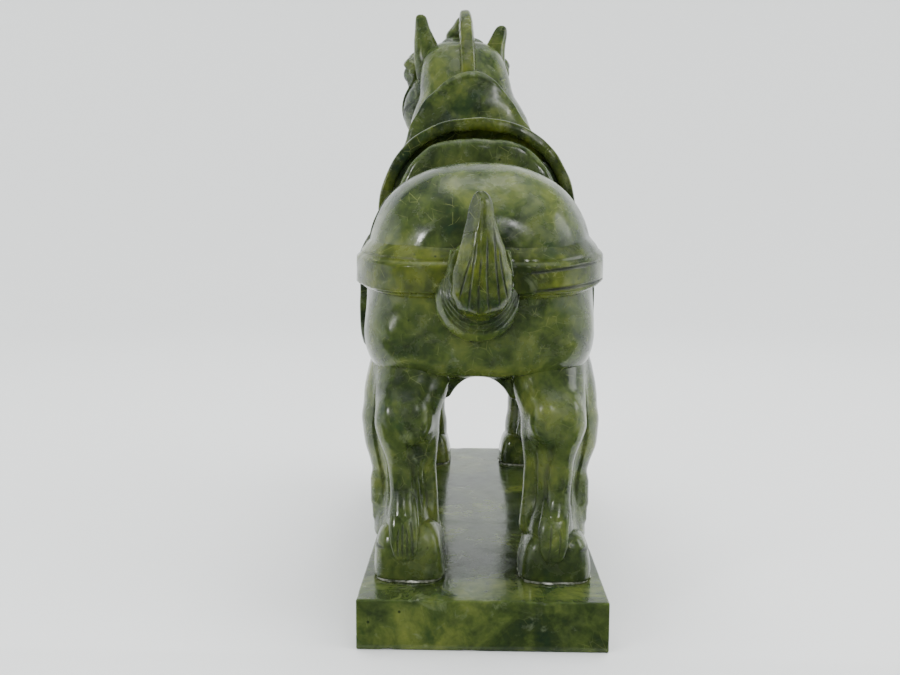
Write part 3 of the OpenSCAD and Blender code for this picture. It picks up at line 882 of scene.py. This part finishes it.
# The cantle's outline from behind: a squarish oval's centre X and Z, half widths and power.
CANTLE = (2.6, 149.5, 43.4, 45.6)
CANTLE_POWER = 2.25


def cantle_edge(x, z):
    """How far a place is outside the cantle's outline."""
    cx, cz, a, b = CANTLE
    squares = np.abs((x - cx) / a) ** CANTLE_POWER + np.abs((z - cz) / b) ** CANTLE_POWER
    return (squares ** (1 / CANTLE_POWER) - 1) * min(a, b)


def add_blanket(body, material):
    """A thin cloth with a stitched hem, and the thick pad that lies on it under the saddle."""
    clay = Clay((-54, -54, 112), (59, 34, 192), 0.55)
    depth = clay.read(body)
    x, y, z = clay.grid()
    side = rounded_plate(y, z, (-50, 30.5), (119, 230), 12)
    hem = np.clip(side + 4.2, 0, 1) * 0.55
    cloth = np.maximum(depth - 1.9 - hem, side)
    top = rounded_plate(y, z, (-40, 25.8), (146, 260), 8)
    rise = np.interp(z, [146, 160, 170, 182], [0.0, 3.0, 8.0, 15.0])
    pad = smooth_max(smooth_max(depth - rise, top, 7), cantle_edge(x, z) + 6.5, 3)
    clay.field = np.maximum(smooth_min(cloth, pad, 0.6), -depth - 4).astype(np.float32)
    finish_piece(
        skin("saddle_blanket", clay.uneven(0.18, 14), material), "saddle_stone", "saddle_blanket"
    )


def add_flap(body, side, material):
    """A flap that hangs plumb, with a raised rim, a stirrup leather and a stirrup carved on it."""
    low, high = ((34, -42, 88), (58, 28, 156)) if side == LEFT else ((-55, -42, 88), (-28, 28, 156))
    clay = Clay(low, high, 0.45)
    depth = clay.read(body)
    x, y, z = clay.grid()
    flat = Clay(low, high, 0.45, reach=9).add(trunk_shape(6.0, 2.4, 6.0)).field
    outline = rounded_plate(y, z, (-37.5, 24), (94, 175), 15)
    rim = np.clip((outline + 3.0) / 0.7, 0, 1) * 0.9
    face = np.maximum(np.minimum(flat, depth - 5.4), depth - np.interp(z, [128, 146], [9.0, 2.6]))
    clay.field = smooth_max(np.maximum(face + 0.9 - rim, -depth - 2), outline, 1.2).astype(np.float32)
    clay.keep(z - 146.5, 3)
    leather = [(side * 52, -8, 145), (side * 54, -8, 136), (side * 54, -9, 122)]
    clay.add(tube(clay.settle(through(leather, 1.5), 8), 1.7), 1.0)
    turns = np.linspace(0.5 * math.pi, 2.5 * math.pi, 21)
    stirrup = [(side * 54, -9 + 7.5 * math.cos(a), 113 + 8.5 * math.sin(a)) for a in turns]
    clay.add(tube(clay.settle(stirrup, 8), 1.5), 0.8)
    clay.keep(np.abs(x - 1.75) - 52.3, 0.8)
    name = f"saddle_flap_{SIDE_NAME[side]}"
    finish_piece(skin(name, clay.uneven(0.12, 14), material), "saddle_stone", name)


def add_seat(body, material):
    """The seat between pommel and cantle, thick on top and thin down the sides."""
    clay = Clay((-44, -46, 138), (50, 18, 200), 0.6)
    depth = clay.read(body)
    y, z = clay.grid()[1:]
    dip = np.interp(y, [-46, -34, -14, 4, 16], [17, 11, 9, 10.5, 14])
    dip = 3 + (dip - 3) * np.clip((z - 152) / 24, 0, 1)
    outline = rounded_plate(y, z, (-41, 13), (147, 260), 9)
    clay.field = np.maximum(smooth_max(depth - dip, outline, 3), -depth - 3).astype(np.float32)
    finish_piece(skin("saddle_seat", clay.uneven(0.14, 16), material), "saddle_stone", "saddle_seat")


def add_cantle(material):
    """A raised arch behind the seat whose rim curls back over a hollow."""
    clay = Clay((-43, -4, 138), (49, 22, 198), 0.4)
    x, y, z = clay.grid()
    edge = cantle_edge(x, z)
    width, lean = 11, 8.4
    roll = np.clip((edge + width) / width, 0, 1)
    middle = 4.0 + lean * roll**2
    slant = 1 / np.sqrt(1 + (lean * 2 * roll / width) ** 2)
    plate = (np.abs(y - middle) - 2.9) * slant
    clay.field = smooth_max(plate, edge, 1.4).astype(np.float32)
    cx, cz, a, b = CANTLE
    rim = []
    for turn in np.radians(np.linspace(-14, 194, 60)):
        across, up = oval_edge(turn, CANTLE_POWER)
        rim.append((cx + (a - 2.5) * across, 13.6, cz + (b - 2.5) * up))
    clay.add(tube(rim, 2.45), 2.6)
    clay.keep(140 - z, 1)
    finish_piece(skin("saddle_cantle", clay.uneven(0.16, 13), material), "thin_stone", "saddle_cantle")


def add_pommel(material):
    """An upright plate in front of the seat, hollowed behind, with a raised rim."""
    rows = [
        (168, 6.4, -40.5, 37.6, 5.6), (176, 6.4, -41, 36.4, 5.3), (186, 6.5, -41.6, 33.9, 5.0),
        (195, 6.6, -42.2, 30.8, 4.7), (203, 6.9, -42.8, 26.8, 4.4), (211, 7.0, -43.3, 21.8, 4.1),
        (217.4, 6.4, -43.7, 16, 3.8), (221.6, 6.0, -44, 11.2, 3.4), (224.4, 5.4, -44.2, 6.6, 3.0),
        (225.6, 4.8, -44.3, 2.6, 2.0),
    ]
    clay = Clay((-34, -50, 160), (47, -34, 227), 0.45)
    clay.add(stack(2, rows, 5.0))
    clay.cut(ball((6.8, -31.4, 178), (27, 6.4, 38)), 2.0)
    rim = [
        (-27.5, -37, 178), (-23.5, -37.4, 195), (-16.6, -38.4, 208.5), (-7.6, -39.6, 218.6),
        (5, -40.6, 223.2), (19, -39.6, 217.6), (28.6, -38.4, 208), (36, -37.4, 195), (40.6, -37, 178),
    ]
    clay.add(tube(clay.settle(through(rim, 1.2), 6, -0.5), 0.9), 0.8)
    finish_piece(skin("saddle_pommel", clay.uneven(0.16, 15), material), "saddle_stone", "saddle_pommel")


# ---------------------------------------------------------------- head

HEAD_PLACE = (10.8, -86, 246)
HEAD_TURN, HEAD_ROLL, HEAD_DROOP = (math.radians(a) for a in (15, 3, 52))


def head_matrix():
    """From the head's own frame (left, out of the forehead, towards the lips) to the horse's."""
    s, c = math.sin(HEAD_DROOP), math.cos(HEAD_DROOP)
    axes = Matrix(((1, 0, 0), (0, -s, -c), (0, c, -s)))
    turn = Matrix.Rotation(HEAD_TURN, 3, "Z") @ Matrix.Rotation(HEAD_ROLL, 3, "Y")
    return Matrix.Translation(HEAD_PLACE) @ (turn @ axes).to_4x4()


def head_clay():
    """The skull and muzzle with cheeks, brows, nostrils, mouth and chin, in the head's own frame."""
    rows = [
        (-3, 0, -2, 11, 8), (2, 0, -2, 15, 10.5), (8, 0, -3, 20.5, 14.5), (15, 0, -4, 24, 18.5),
        (24, 0, -4.5, 24.6, 20.5), (34, 0, -4.5, 21.5, 19), (44, 0, -3.5, 17.5, 16),
        (54, 0, -2, 14.8, 13), (62, 0, -1.5, 14.4, 12), (66.5, 0, -1.5, 12.6, 10.4),
        (69.4, 0, -1.5, 7.5, 6.5),
    ]
    clay = Clay((-34, -27, -6), (34, 20, 74), 0.5)
    clay.add(stack(2, rows, 2.3))
    jaw = [(27, -15, 24), (31, -9, 36), (27, -8, 48), (18, -8, 54)]
    mouth = [(13, -5, 56), (12.6, -5.4, 62), (9, -5.4, 68), (0, -5.2, 72)]
    cheek = [(22, -1, 12), (27, -1.5, 19), (24, 1, 27)]
    nose = [(8, 14, 30), (9.4, 11.6, 44), (10, 10, 54)]
    for side in (LEFT, RIGHT):
        at = placer(side, 0)
        clay.add(ball(at(18.6, -9, 33), (12.6, 12.5, 17.5)), 5)
        clay.add(ball(at(23.4, 5, 17.5), (6.4, 6, 7.6)), 4)
        clay.add(tube([at(17, 12, 8), at(22.6, 11.5, 14), at(23, 9, 23)], [2.2, 2.6, 1.8]), 3)
        clay.add(ball(at(9.6, 5.4, 62.5), (5.4, 5.6, 6.4)), 3)
        clay.cut(tube([at(12.6, 7.6, 60.5), at(11.6, 4.6, 65)], [1.5, 2.2]), 1.2)
        clay.cut(ball(at(27, 4.4, 18.4), (3.4, 3.8, 5.0)), 0.8)
        for line, radius, depth, taper in (
            (jaw, 0.9, 0.6, 0.35), (mouth, 0.9, 0.9, 0.9), (cheek, 0.6, 0.4, 0.35),
            (nose, 0.8, 0.5, 0.35),
        ):
            clay.incise([at(*point) for point in line], radius, depth, taper)
    clay.add(ball((0, -11.6, 60), (9, 4.4, 7.6)), 3)
    return clay


def add_head(stone, dark):
    """The head and what lies on it, all placed by one matrix."""
    place = head_matrix()
    clay = head_clay()
    clean = Clay.copy_of(clay)
    finish_piece(skin("head", clay.uneven(0.14, 12), stone, place), "carved_stone", "head")
    add_eyes(dark, place)
    add_bridle(clean, stone, place)
    add_forelock(stone, place)


def add_eyes(dark, place):
    """Almond-shaped eyes with a carved ring for the lid."""
    for side in (LEFT, RIGHT):
        name = f"eye_{SIDE_NAME[side]}"
        eye = Clay((side * 26 - 6, -3, 11), (side * 26 + 6, 12, 26), 0.25)
        eye.add(ball((side * 26, 4.4, 18.4), (4.0, 3.9, 5.0)))
        ring = [
            (side * 31, 4.4 + 2 * math.cos(a), 18.4 + 2.6 * math.sin(a))
            for a in np.linspace(0, 2 * math.pi, 15)
        ]
        eye.cut(tube(ring, 1.2), 0.3)
        finish_piece(skin(name, eye, dark, place), "carved_stone", name)


def add_bridle(clean, stone, place):
    """Noseband, cheek pieces and browband on the clean head, with a round ring where they cross."""
    bridle = Clay((-34, -27, 8), (34, 20, 62), 0.5)
    depth = bridle.read(clean)
    v, w = bridle.grid()[1:]
    nose = np.abs(w - 50) - 2.4
    cheek = np.maximum(np.abs(v + 1.5 + (w - 30) * 0.04) - 2.2, np.abs(w - 32) - 18)
    brow = np.maximum(np.abs(w - 12) - 2.0, -v - 3)
    band = smooth_min(smooth_min(nose, cheek, 1), brow, 1)
    bridle.field = smooth_max(np.maximum(depth - 1.3, -depth - 1.6), band, 0.8).astype(np.float32)
    for side in (LEFT, RIGHT):
        for ring in clean.settle([(side * 17, -2.3, 50), (side * 26, -1, 14)], 10):
            bridle.add(ball(ring, (2.6, 2.6, 2.6)), 0.5)
    finish_piece(skin("bridle", bridle, stone, place), "carved_stone", "bridle")


def add_forelock(stone, place):
    """A lock of hair that falls between the ears onto the forehead."""
    lock = Clay((-10, 2, -11), (10, 26, 26), 0.35)
    lock.add(stack(2, [
        (-10, -1.4, 13.0, 1.2, 2.0), (-8.6, -1.2, 12.6, 2.2, 3.6), (-5, -0.6, 11.4, 3.8, 5.4),
        (0, 0, 11.4, 6.4, 5.6), (6, 0, 13, 6.5, 4.6), (13, 0, 15.6, 5.4, 3.6), (20, 0.6, 15.4, 3.2, 2.6),
        (24.5, 1.4, 14.6, 1.2, 1.4),
    ], 2.2))
    for gap in (-3.2, -1.1, 1.1, 3.2):
        lock.incise(
            [(gap * 1.2, 14, -1), (gap * 1.2, 18.5, 7), (gap, 20, 14), (gap * 0.4 + 0.9, 19, 23)], 0.5,
            0.45
        )
    finish_piece(skin("forelock", lock, stone, place), "carved_stone", "forelock")


def add_ears(stone):
    """Two upright ears, hollowed in front."""
    shapes = {
        LEFT: [
            (228, 26.6, -84, 8.6, 5.0), (238, 28.4, -84, 8.4, 5.6), (247, 30.4, -84.4, 6.4, 4.8),
            (254, 32, -84.8, 4.5, 3.8), (259, 32.9, -85, 3.4, 3.0), (261.6, 33.2, -85, 2.6, 2.2),
            (262.6, 33.3, -85, 1.4, 1.2),
        ],
        RIGHT: [
            (226, -4.0, -89, 8.0, 5.0), (236, -4.6, -90, 7.8, 5.4), (244, -6.2, -91, 6.2, 4.8),
            (250, -8.2, -91.6, 4.8, 3.9), (254.6, -9.6, -92, 3.8, 3.1), (257.2, -10.3, -92, 2.7, 2.2),
            (258.2, -10.5, -92, 1.4, 1.2),
        ],
    }
    for side, rows in shapes.items():
        name = f"ear_{SIDE_NAME[side]}"
        top, root = rows[-1], rows[1]
        least, most = min(r[1] - r[3] for r in rows) - 1, max(r[1] + r[3] for r in rows) + 1
        clay = Clay((least, root[2] - 8, rows[0][0]), (most, root[2] + 8, top[0] + 1), 0.33)
        clay.add(stack(2, rows, 2.2))
        hollow = [
            (top[1], top[2] - 3.4, top[0] - 4),
            ((top[1] + root[1]) / 2, root[2] - 5.4, (top[0] + root[0]) / 2),
            (root[1], root[2] - 6.4, root[0] + 2),
        ]
        clay.cut(tube(hollow, [1.2, 2.6, 3.4]), 0.8)
        finish_piece(skin(name, clay.uneven(0.1, 9), stone), "carved_stone", name)


def add_mane(material):
    """A thin crest along the neck with slanting cuts on both faces."""
    rows = [
        (206, 6.8, -68, 5.0, 22), (212, 6.9, -69, 5.0, 21), (225, 7.2, -74, 4.9, 22),
        (236, 7.7, -78.5, 4.6, 21), (244, 8.1, -81, 4.3, 19), (250, 8.5, -83.4, 4.0, 17.2),
        (256, 8.9, -85.6, 3.7, 13.8), (260.4, 9.2, -87, 3.4, 10.4), (263.2, 9.4, -87.8, 3.0, 6.8),
        (264.9, 9.5, -88.2, 2.2, 3.6), (265.4, 9.5, -88.3, 1.0, 1.4),
    ]
    clay = Clay((0, -101, 204), (15, -44, 267), 0.42)
    clay.add(stack(2, rows, 4.0))
    for k in range(10):
        z = 216 + 5.0 * k
        rear = float(smooth_rows([(r[0], r[2] + r[4]) for r in rows], [z])[0, 0])
        for side in (LEFT, RIGHT):
            clay.incise(
                [
                    (7.6 + side * 6, rear - 0.6, z + 1.5), (8 + side * 6, rear - 6, z - 2.5),
                    (8 + side * 6, rear - 13, z - 4),
                ],
                0.5, 0.42
            )
    finish_piece(skin("mane", clay.uneven(0.14, 12), material), "thin_stone", "mane")


# ---------------------------------------------------------------- slab

def add_slab(material):
    """A sawn block with softened edges, nicked here and there."""
    low, high = node_box("base_slab")
    size, middle = high - low, (low + high) / 2
    block = bmesh.new()
    bmesh.ops.create_cube(block, size=1.0)
    bmesh.ops.scale(block, vec=size, verts=block.verts)
    bmesh.ops.translate(block, vec=middle, verts=block.verts)
    bmesh.ops.bevel(block, geom=block.edges[:], offset=0.75, segments=3, profile=0.6, affect="EDGES")
    long_edges = [e for e in block.edges if e.calc_length() > 5]
    bmesh.ops.subdivide_edges(block, edges=long_edges, cuts=60, use_grid_fill=True)
    inner = size / 2 - 0.8
    for vertex in block.verts:
        past = np.maximum(np.abs(np.array(vertex.co) - middle) - inner, 0)
        if np.count_nonzero(past > 0.02) >= 2:
            where = Vector(vertex.co)
            nick = max(0.0, noise.noise(where * 0.11) + 0.35 * noise.noise(where * 0.45) - 0.28)
            inward = middle - np.array(vertex.co)
            pull = Vector([math.copysign(min(1.0, p), c) for p, c in zip(past, inward)])
            vertex.co += pull * min(0.55, nick * 1.4)
    mesh = bpy.data.meshes.new("base_slab_stone")
    block.to_mesh(mesh)
    block.free()
    mesh.transform(Matrix.Diagonal((MM, MM, MM, 1)))
    for polygon in mesh.polygons:
        polygon.use_smooth = True
    mesh.materials.append(material)
    piece = bpy.data.objects.new("base_slab_stone", mesh)
    bpy.context.collection.objects.link(piece)
    weigh = piece.modifiers.new("flat_faces", "WEIGHTED_NORMAL")
    weigh.keep_sharp = False
    weigh.weight = 100
    finish_piece(piece, "slab_stone", "base_slab")


# ---------------------------------------------------------------- materials

class Nodes:
    """A material's node tree, built up call by call."""

    def __init__(self, name):
        self.material = bpy.data.materials.new(name)
        self.material.use_nodes = True
        self.tree = self.material.node_tree
        self.shader = self.tree.nodes["Principled BSDF"]
        self.place = self.tree.nodes.new("ShaderNodeTexCoord").outputs["Object"]

    def make(self, kind, inputs=None, **settings):
        """A new node of a kind, with its inputs and settings."""
        node = self.tree.nodes.new("ShaderNode" + kind)
        for key, value in settings.items():
            setattr(node, key, value)
        for key, value in (inputs or {}).items():
            self.feed(node.inputs[key], value)
        return node

    def feed(self, socket, value):
        """Links a socket to another node's output, or sets it to a plain value."""
        if isinstance(value, bpy.types.NodeSocket):
            self.tree.links.new(value, socket)
        else:
            socket.default_value = value

    def placed(self, turn=(0, 0, 0), stretch=(1, 1, 1), move=(0, 0, 0), source=None):
        """Places turned by degrees, stretched and moved."""
        turn = [math.radians(a) for a in turn]
        inputs = {"Vector": source or self.place, "Location": move, "Rotation": turn, "Scale": stretch}
        return self.make("Mapping", inputs).outputs[0]

    def cloud(self, size_mm, detail=4.0, rough=0.55, warp=0.0, place=None, offset=0.0):
        """Soft random patches about size_mm across, from 0 to 1."""
        place = place or self.place
        if offset:
            place = self.placed(move=(offset, offset * 0.7, -offset), source=place)
        inputs = {
            "Vector": place, "Scale": 1 / (size_mm * MM), "Detail": detail, "Roughness": rough,
            "Distortion": warp,
        }
        return self.make("TexNoise", inputs).outputs["Fac"]

    def span(self, value, low, high, to_low=0.0, to_high=1.0):
        """A value's range from low to high made into another range, with soft ends."""
        inputs = {"Value": value, "From Min": low, "From Max": high, "To Min": to_low, "To Max": to_high}
        return self.make("MapRange", inputs, interpolation_type="SMOOTHSTEP").outputs["Result"]

    def plus(self, a, b):
        """The sum of two values."""
        return self.make("Math", {0: a, 1: b}, operation="ADD").outputs[0]

    def times(self, a, b):
        """The product of two values."""
        return self.make("Math", {0: a, 1: b}, operation="MULTIPLY").outputs[0]

    def mix(self, amount, a, b):
        """Colour b laid over colour a by an amount from 0 to 1."""
        node = self.make("Mix", data_type="RGBA")
        self.feed(node.inputs[0], amount)
        self.feed(node.inputs[6], a)
        self.feed(node.inputs[7], b)
        return node.outputs[2]

    def ramp(self, value, *stops):
        """A colour read off from stops, each a place from 0 to 1 and a colour."""
        node = self.make("ValToRGB", {"Fac": value})
        elements = node.color_ramp.elements
        while len(elements) < len(stops):
            elements.new(0.5)
        for element, (place, colour) in zip(elements, stops):
            element.position = place
            element.color = (*colour, 1)
        return node.outputs["Color"]

    def bump(self, height, strength, depth_mm):
        """Normals of a surface that a height from 0 to 1 raises by depth_mm."""
        inputs = {"Strength": strength, "Distance": depth_mm * MM, "Height": height}
        return self.make("Bump", inputs).outputs["Normal"]

    def finish(self, inputs):
        """Feeds the shader and returns the material."""
        for key, value in inputs.items():
            self.feed(self.shader.inputs[key], value)
        return self.material


def fibres(nodes, length_mm, width_mm, turn, patch):
    """Fine pale threads in the stone, all lying roughly one way, only where the patch is over a half."""
    warp = nodes.make(
        "TexNoise", {"Vector": nodes.place, "Scale": 1 / (14 * MM), "Detail": 1.0}
    ).outputs["Color"]
    bent = nodes.make("VectorMath", {0: warp, 1: (0.004, 0.004, 0.004)}, operation="MULTIPLY").outputs[0]
    place = nodes.make("VectorMath", {0: nodes.place, 1: bent}, operation="ADD").outputs[0]
    place = nodes.placed(turn, (1, width_mm / length_mm, 1), source=place)
    cells = nodes.make(
        "TexVoronoi", {"Vector": place, "Scale": 1 / (width_mm * MM), "Randomness": 1.0},
        feature="DISTANCE_TO_EDGE"
    )
    line = nodes.span(cells.outputs["Distance"], 0.0, 0.11 / width_mm, 1.0, 0.0)
    breaks = nodes.span(nodes.cloud(6, 2, 0.5, offset=length_mm * 0.01), 0.5, 0.58)
    return nodes.times(nodes.times(line, breaks), nodes.span(patch, 0.5, 0.62))


DARK = (0.009, 0.019, 0.009)


def jade(name, olive=(0.043, 0.063, 0.015), bright=(0.125, 0.148, 0.030), balance=0.0, gloss=0.18,
         seed=0.0, bend=1.5, threaded=0.55):
    """Polished serpentine: dark, olive and yellow-green clouds, milky veils, pale threads and dark specks.

    The balance shifts the clouds towards bright, gloss is the roughness, bend the refractive index, and
    threaded the strength of the threads.
    """
    nodes = Nodes(name)
    big = nodes.cloud(30, 5, 0.6, 0.9, offset=seed)
    fine = nodes.cloud(7, 6, 0.62, 0.6, offset=seed + 0.1)
    tiny = nodes.cloud(1.6, 3, 0.5)
    field = nodes.plus(
        nodes.times(big, 0.62), nodes.plus(nodes.times(fine, 0.30), nodes.times(tiny, 0.08))
    )
    deep = [(d + o) / 2 * 0.8 for d, o in zip(DARK, olive)]
    light = [o * 0.55 + b * 0.45 for o, b in zip(olive, bright)]
    stops = (0.34, DARK), (0.43, deep), (0.50, olive), (0.58, light), (0.68, bright)
    colour = nodes.ramp(nodes.plus(field, balance), *stops)
    blue = nodes.span(nodes.cloud(19, 4, 0.6, 0.5, offset=seed + 0.37), 0.56, 0.70, 0.0, 0.5)
    colour = nodes.mix(blue, colour, (0.008, 0.028, 0.012, 1))
    veil = nodes.span(nodes.cloud(15, 6, 0.68, 1.4, offset=seed + 0.8), 0.58, 0.74, 0.0, 0.4)
    colour = nodes.mix(veil, colour, (0.17, 0.20, 0.11, 1))
    patch = nodes.cloud(24, 2, 0.5, 0.2, offset=seed + 1.3)
    for length, width, turn in (
        (60, 7.0, (25, 40, 10)), (50, 5.5, (-35, 15, 60)), (70, 9.0, (70, -20, 120))
    ):
        threads = fibres(nodes, length, width, turn, patch)
        colour = nodes.mix(nodes.times(threads, threaded), colour, (0.22, 0.25, 0.08, 1))
        patch = nodes.cloud(24, 2, 0.5, 0.2, offset=seed + 1.3 + length)
    speck = nodes.make(
        "TexVoronoi", {"Vector": nodes.place, "Scale": 1 / (5.5 * MM), "Randomness": 1.0}, feature="F1"
    )
    specks = nodes.times(
        nodes.span(speck.outputs["Distance"], 0.05, 0.13, 1.0, 0.0), nodes.span(fine, 0.5, 0.58)
    )
    colour = nodes.mix(nodes.times(specks, 0.85), colour, (0.004, 0.010, 0.006, 1))
    # Carved lines darkened at the bottom in colour, soiling and painted shade together, read from the points.
    groove_dirt_and_shade = nodes.make("Attribute", attribute_name="groove_dirt_and_shade", attribute_type="GEOMETRY").outputs["Fac"]
    colour = nodes.mix(groove_dirt_and_shade, colour, (0.004, 0.009, 0.003, 1))
    wear = nodes.cloud(9, 5, 0.65, 0.3, offset=seed + 2.2)
    rough = nodes.plus(nodes.span(wear, 0.35, 0.7, gloss * 0.7, gloss * 1.9), nodes.times(veil, 0.12))
    ripples = nodes.plus(nodes.cloud(3.2, 4, 0.6), nodes.times(nodes.cloud(0.7, 2, 0.5), 0.35))
    return nodes.finish({
        "Base Color": colour, "Roughness": nodes.plus(rough, nodes.times(groove_dirt_and_shade, 0.35)), "IOR": bend,
        "Subsurface Weight": 0.16, "Subsurface Radius": (0.55, 1.0, 0.18), "Subsurface Scale": 0.0035,
        "Normal": nodes.bump(ripples, 0.35, 0.12),
    })


def adhesive():
    """Dull whitish resin with dust and soiling in it."""
    nodes = Nodes("adhesive")
    patches = nodes.cloud(2.4, 5, 0.6, 0.3)
    colour = nodes.ramp(
        patches, (0.36, (0.06, 0.07, 0.04)), (0.52, (0.26, 0.27, 0.21)), (0.68, (0.58, 0.58, 0.52))
    )
    return nodes.finish({
        "Base Color": colour, "Roughness": nodes.span(patches, 0.3, 0.7, 0.62, 0.38),
        "Subsurface Weight": 0.3, "Subsurface Radius": (1.0, 1.0, 0.8), "Subsurface Scale": 0.001,
        "Normal": nodes.bump(nodes.cloud(0.8, 3, 0.6), 0.6, 0.3),
    })


# ---------------------------------------------------------------- room, light and camera

def add_camera():
    """The photo's camera: nearly level behind the horse, its place found from the slab's perspective."""
    camera = bpy.data.cameras.new("camera")
    camera.sensor_width = 36
    camera.lens = 37.34
    holder = bpy.data.objects.new("camera", camera)
    bpy.context.collection.objects.link(holder)
    yaw, pitch, roll = (math.radians(a) for a in (1.386, 5.973, 0.28))
    ahead = Vector((math.sin(yaw) * math.cos(pitch), -math.cos(yaw) * math.cos(pitch), -math.sin(pitch)))
    right = ahead.cross(Vector((0, 0, 1))).normalized()
    up = right.cross(ahead)
    side = right * math.cos(roll) + up * math.sin(roll)
    top = up * math.cos(roll) - right * math.sin(roll)
    turn = Matrix((side, top, -ahead)).transposed().to_4x4()
    holder.matrix_world = Matrix.Translation(Vector((4.13, 431.67, 142.31)) * MM) @ turn
    bpy.context.scene.camera = holder


def add_light(name, place, aim, size, power):
    """A soft rectangular light at a place, turned towards another."""
    lamp = bpy.data.lights.new(name, "AREA")
    lamp.shape = "RECTANGLE"
    lamp.size, lamp.size_y = size
    lamp.energy = power
    holder = bpy.data.objects.new(name, lamp)
    holder.location = place
    holder.rotation_euler = (Vector(aim) - Vector(place)).to_track_quat("-Z", "Y").to_euler()
    bpy.context.collection.objects.link(holder)


def stage_mesh(name, points, faces, material):
    """A smooth mesh that isn't part of the object."""
    mesh = bpy.data.meshes.new(name)
    mesh.from_pydata(points, [], faces)
    for polygon in mesh.polygons:
        polygon.use_smooth = True
    mesh.materials.append(material)
    piece = bpy.data.objects.new(name, mesh)
    bpy.context.collection.objects.link(piece)
    return piece


def add_floor():
    """A pale sheet that curves up into a backdrop in every direction."""
    flat, bend, wall, turns = 1.1, 0.9, 2.4, 64
    profile = [(0.25, 0), (0.55, 0), (flat, 0)]
    for k in range(1, 13):
        a = math.pi / 2 * k / 12
        profile.append((flat + bend * math.sin(a), bend * (1 - math.cos(a))))
    profile.append((flat + bend, wall))
    points = [(0, 0, 0)]
    angles = [2 * math.pi * k / turns for k in range(turns)]
    for r, z in profile:
        points += [(r * math.cos(a), r * math.sin(a), z) for a in angles]
    faces = [(0, 1 + k, 1 + (k + 1) % turns) for k in range(turns)]
    for row in range(len(profile) - 1):
        for k in range(turns):
            a, b = 1 + row * turns + k, 1 + row * turns + (k + 1) % turns
            faces.append((a, a + turns, b + turns, b))
    paper = Nodes("paper").finish({"Base Color": (0.75, 0.762, 0.757, 1), "Roughness": 0.55})
    stage_mesh("floor", points, faces, paper)


def add_flag():
    """The dim half of the room behind the horse: a strip just above the floor that curves up and overhead.

    Only reflections see it, and they keep the stone dark as a dim room does.
    """
    radius, half, turns, sweep = 0.9, 1.6, 16, math.radians(122)
    behind_slab, above_floor = 0.123, 0.0004
    route = [(behind_slab, above_floor)]
    for k in range(turns + 1):
        a = sweep * k / turns
        route.append((radius * math.cos(a), above_floor + 1.2 * radius * math.sin(a)))
    points = [(x, y, z) for y, z in route for x in (-half, half)]
    faces = [(2 * k, 2 * k + 1, 2 * k + 3, 2 * k + 2) for k in range(turns + 1)]
    room = Nodes("room")
    height = room.make("SeparateXYZ", {"Vector": room.place}).outputs["Z"]
    stops = (0.0, (0.05, 0.055, 0.06)), (0.6, (0.10, 0.11, 0.12)), (1.0, (0.42, 0.45, 0.48))
    glow = room.ramp(room.span(height, 0.0, 1.6), *stops)
    dim = room.finish({
        "Base Color": (0, 0, 0, 1), "Specular IOR Level": 0.0, "Emission Color": glow,
        "Emission Strength": 1.0,
    })
    flag = stage_mesh("flag", points, faces, dim)
    for ray in ("camera", "shadow", "diffuse", "transmission"):
        setattr(flag, f"visible_{ray}", False)


def add_world():
    """Even, slightly cool light from all round."""
    world = bpy.data.worlds.new("world")
    bpy.context.scene.world = world
    world.use_nodes = True
    background = world.node_tree.nodes["Background"]
    background.inputs["Color"].default_value = (0.92, 0.96, 1.0, 1)
    background.inputs["Strength"].default_value = 0.62


# ---------------------------------------------------------------- everything in its place

add_camera()
add_floor()
add_flag()
add_world()
add_light("window", (0.6, 0.62, 0.46), (0, 0.05, 0.12), (0.07, 0.11), 1.5)
add_light("lamp", (-0.22, 0.7, 0.52), (0, 0.05, 0.12), (0.13, 0.06), 0.7)
add_light("ceiling", (0.0, -0.25, 2.0), (0, 0, 0.1), (1.9, 1.7), 72)
add_light("far", (-1.1, 0.2, 1.0), (0, 0, 0.12), (0.9, 0.9), 9)

stone = jade("carved_stone")
thin_stone = jade("thin_stone", olive=(0.042, 0.058, 0.008), bright=(0.13, 0.15, 0.016))
saddle_stone = jade("saddle_stone", balance=-0.025)
slab_stone = jade("slab_stone", balance=-0.02, gloss=0.13, seed=3.1, bend=1.34, threaded=0.2)
dark_stone = jade("dark_stone", balance=-0.05)
resin = adhesive()

trunk, body = add_body(stone)
for side in (LEFT, RIGHT):
    add_hind_leg(side, stone)
    add_front_leg(side, stone)
    for end in ("front", "hind"):
        add_hoof(end, side, stone)
        add_glue(end, side, resin)
    add_flap(trunk, side, saddle_stone)
add_tail_knot(stone)
add_tail_tip(thin_stone)
add_crupper(body, thin_stone)
add_breast_strap(body, thin_stone)
add_blanket(trunk, saddle_stone)
add_seat(trunk, saddle_stone)
add_cantle(thin_stone)
add_pommel(saddle_stone)
add_head(stone, dark_stone)
add_ears(stone)
add_mane(thin_stone)
add_slab(slab_stone)
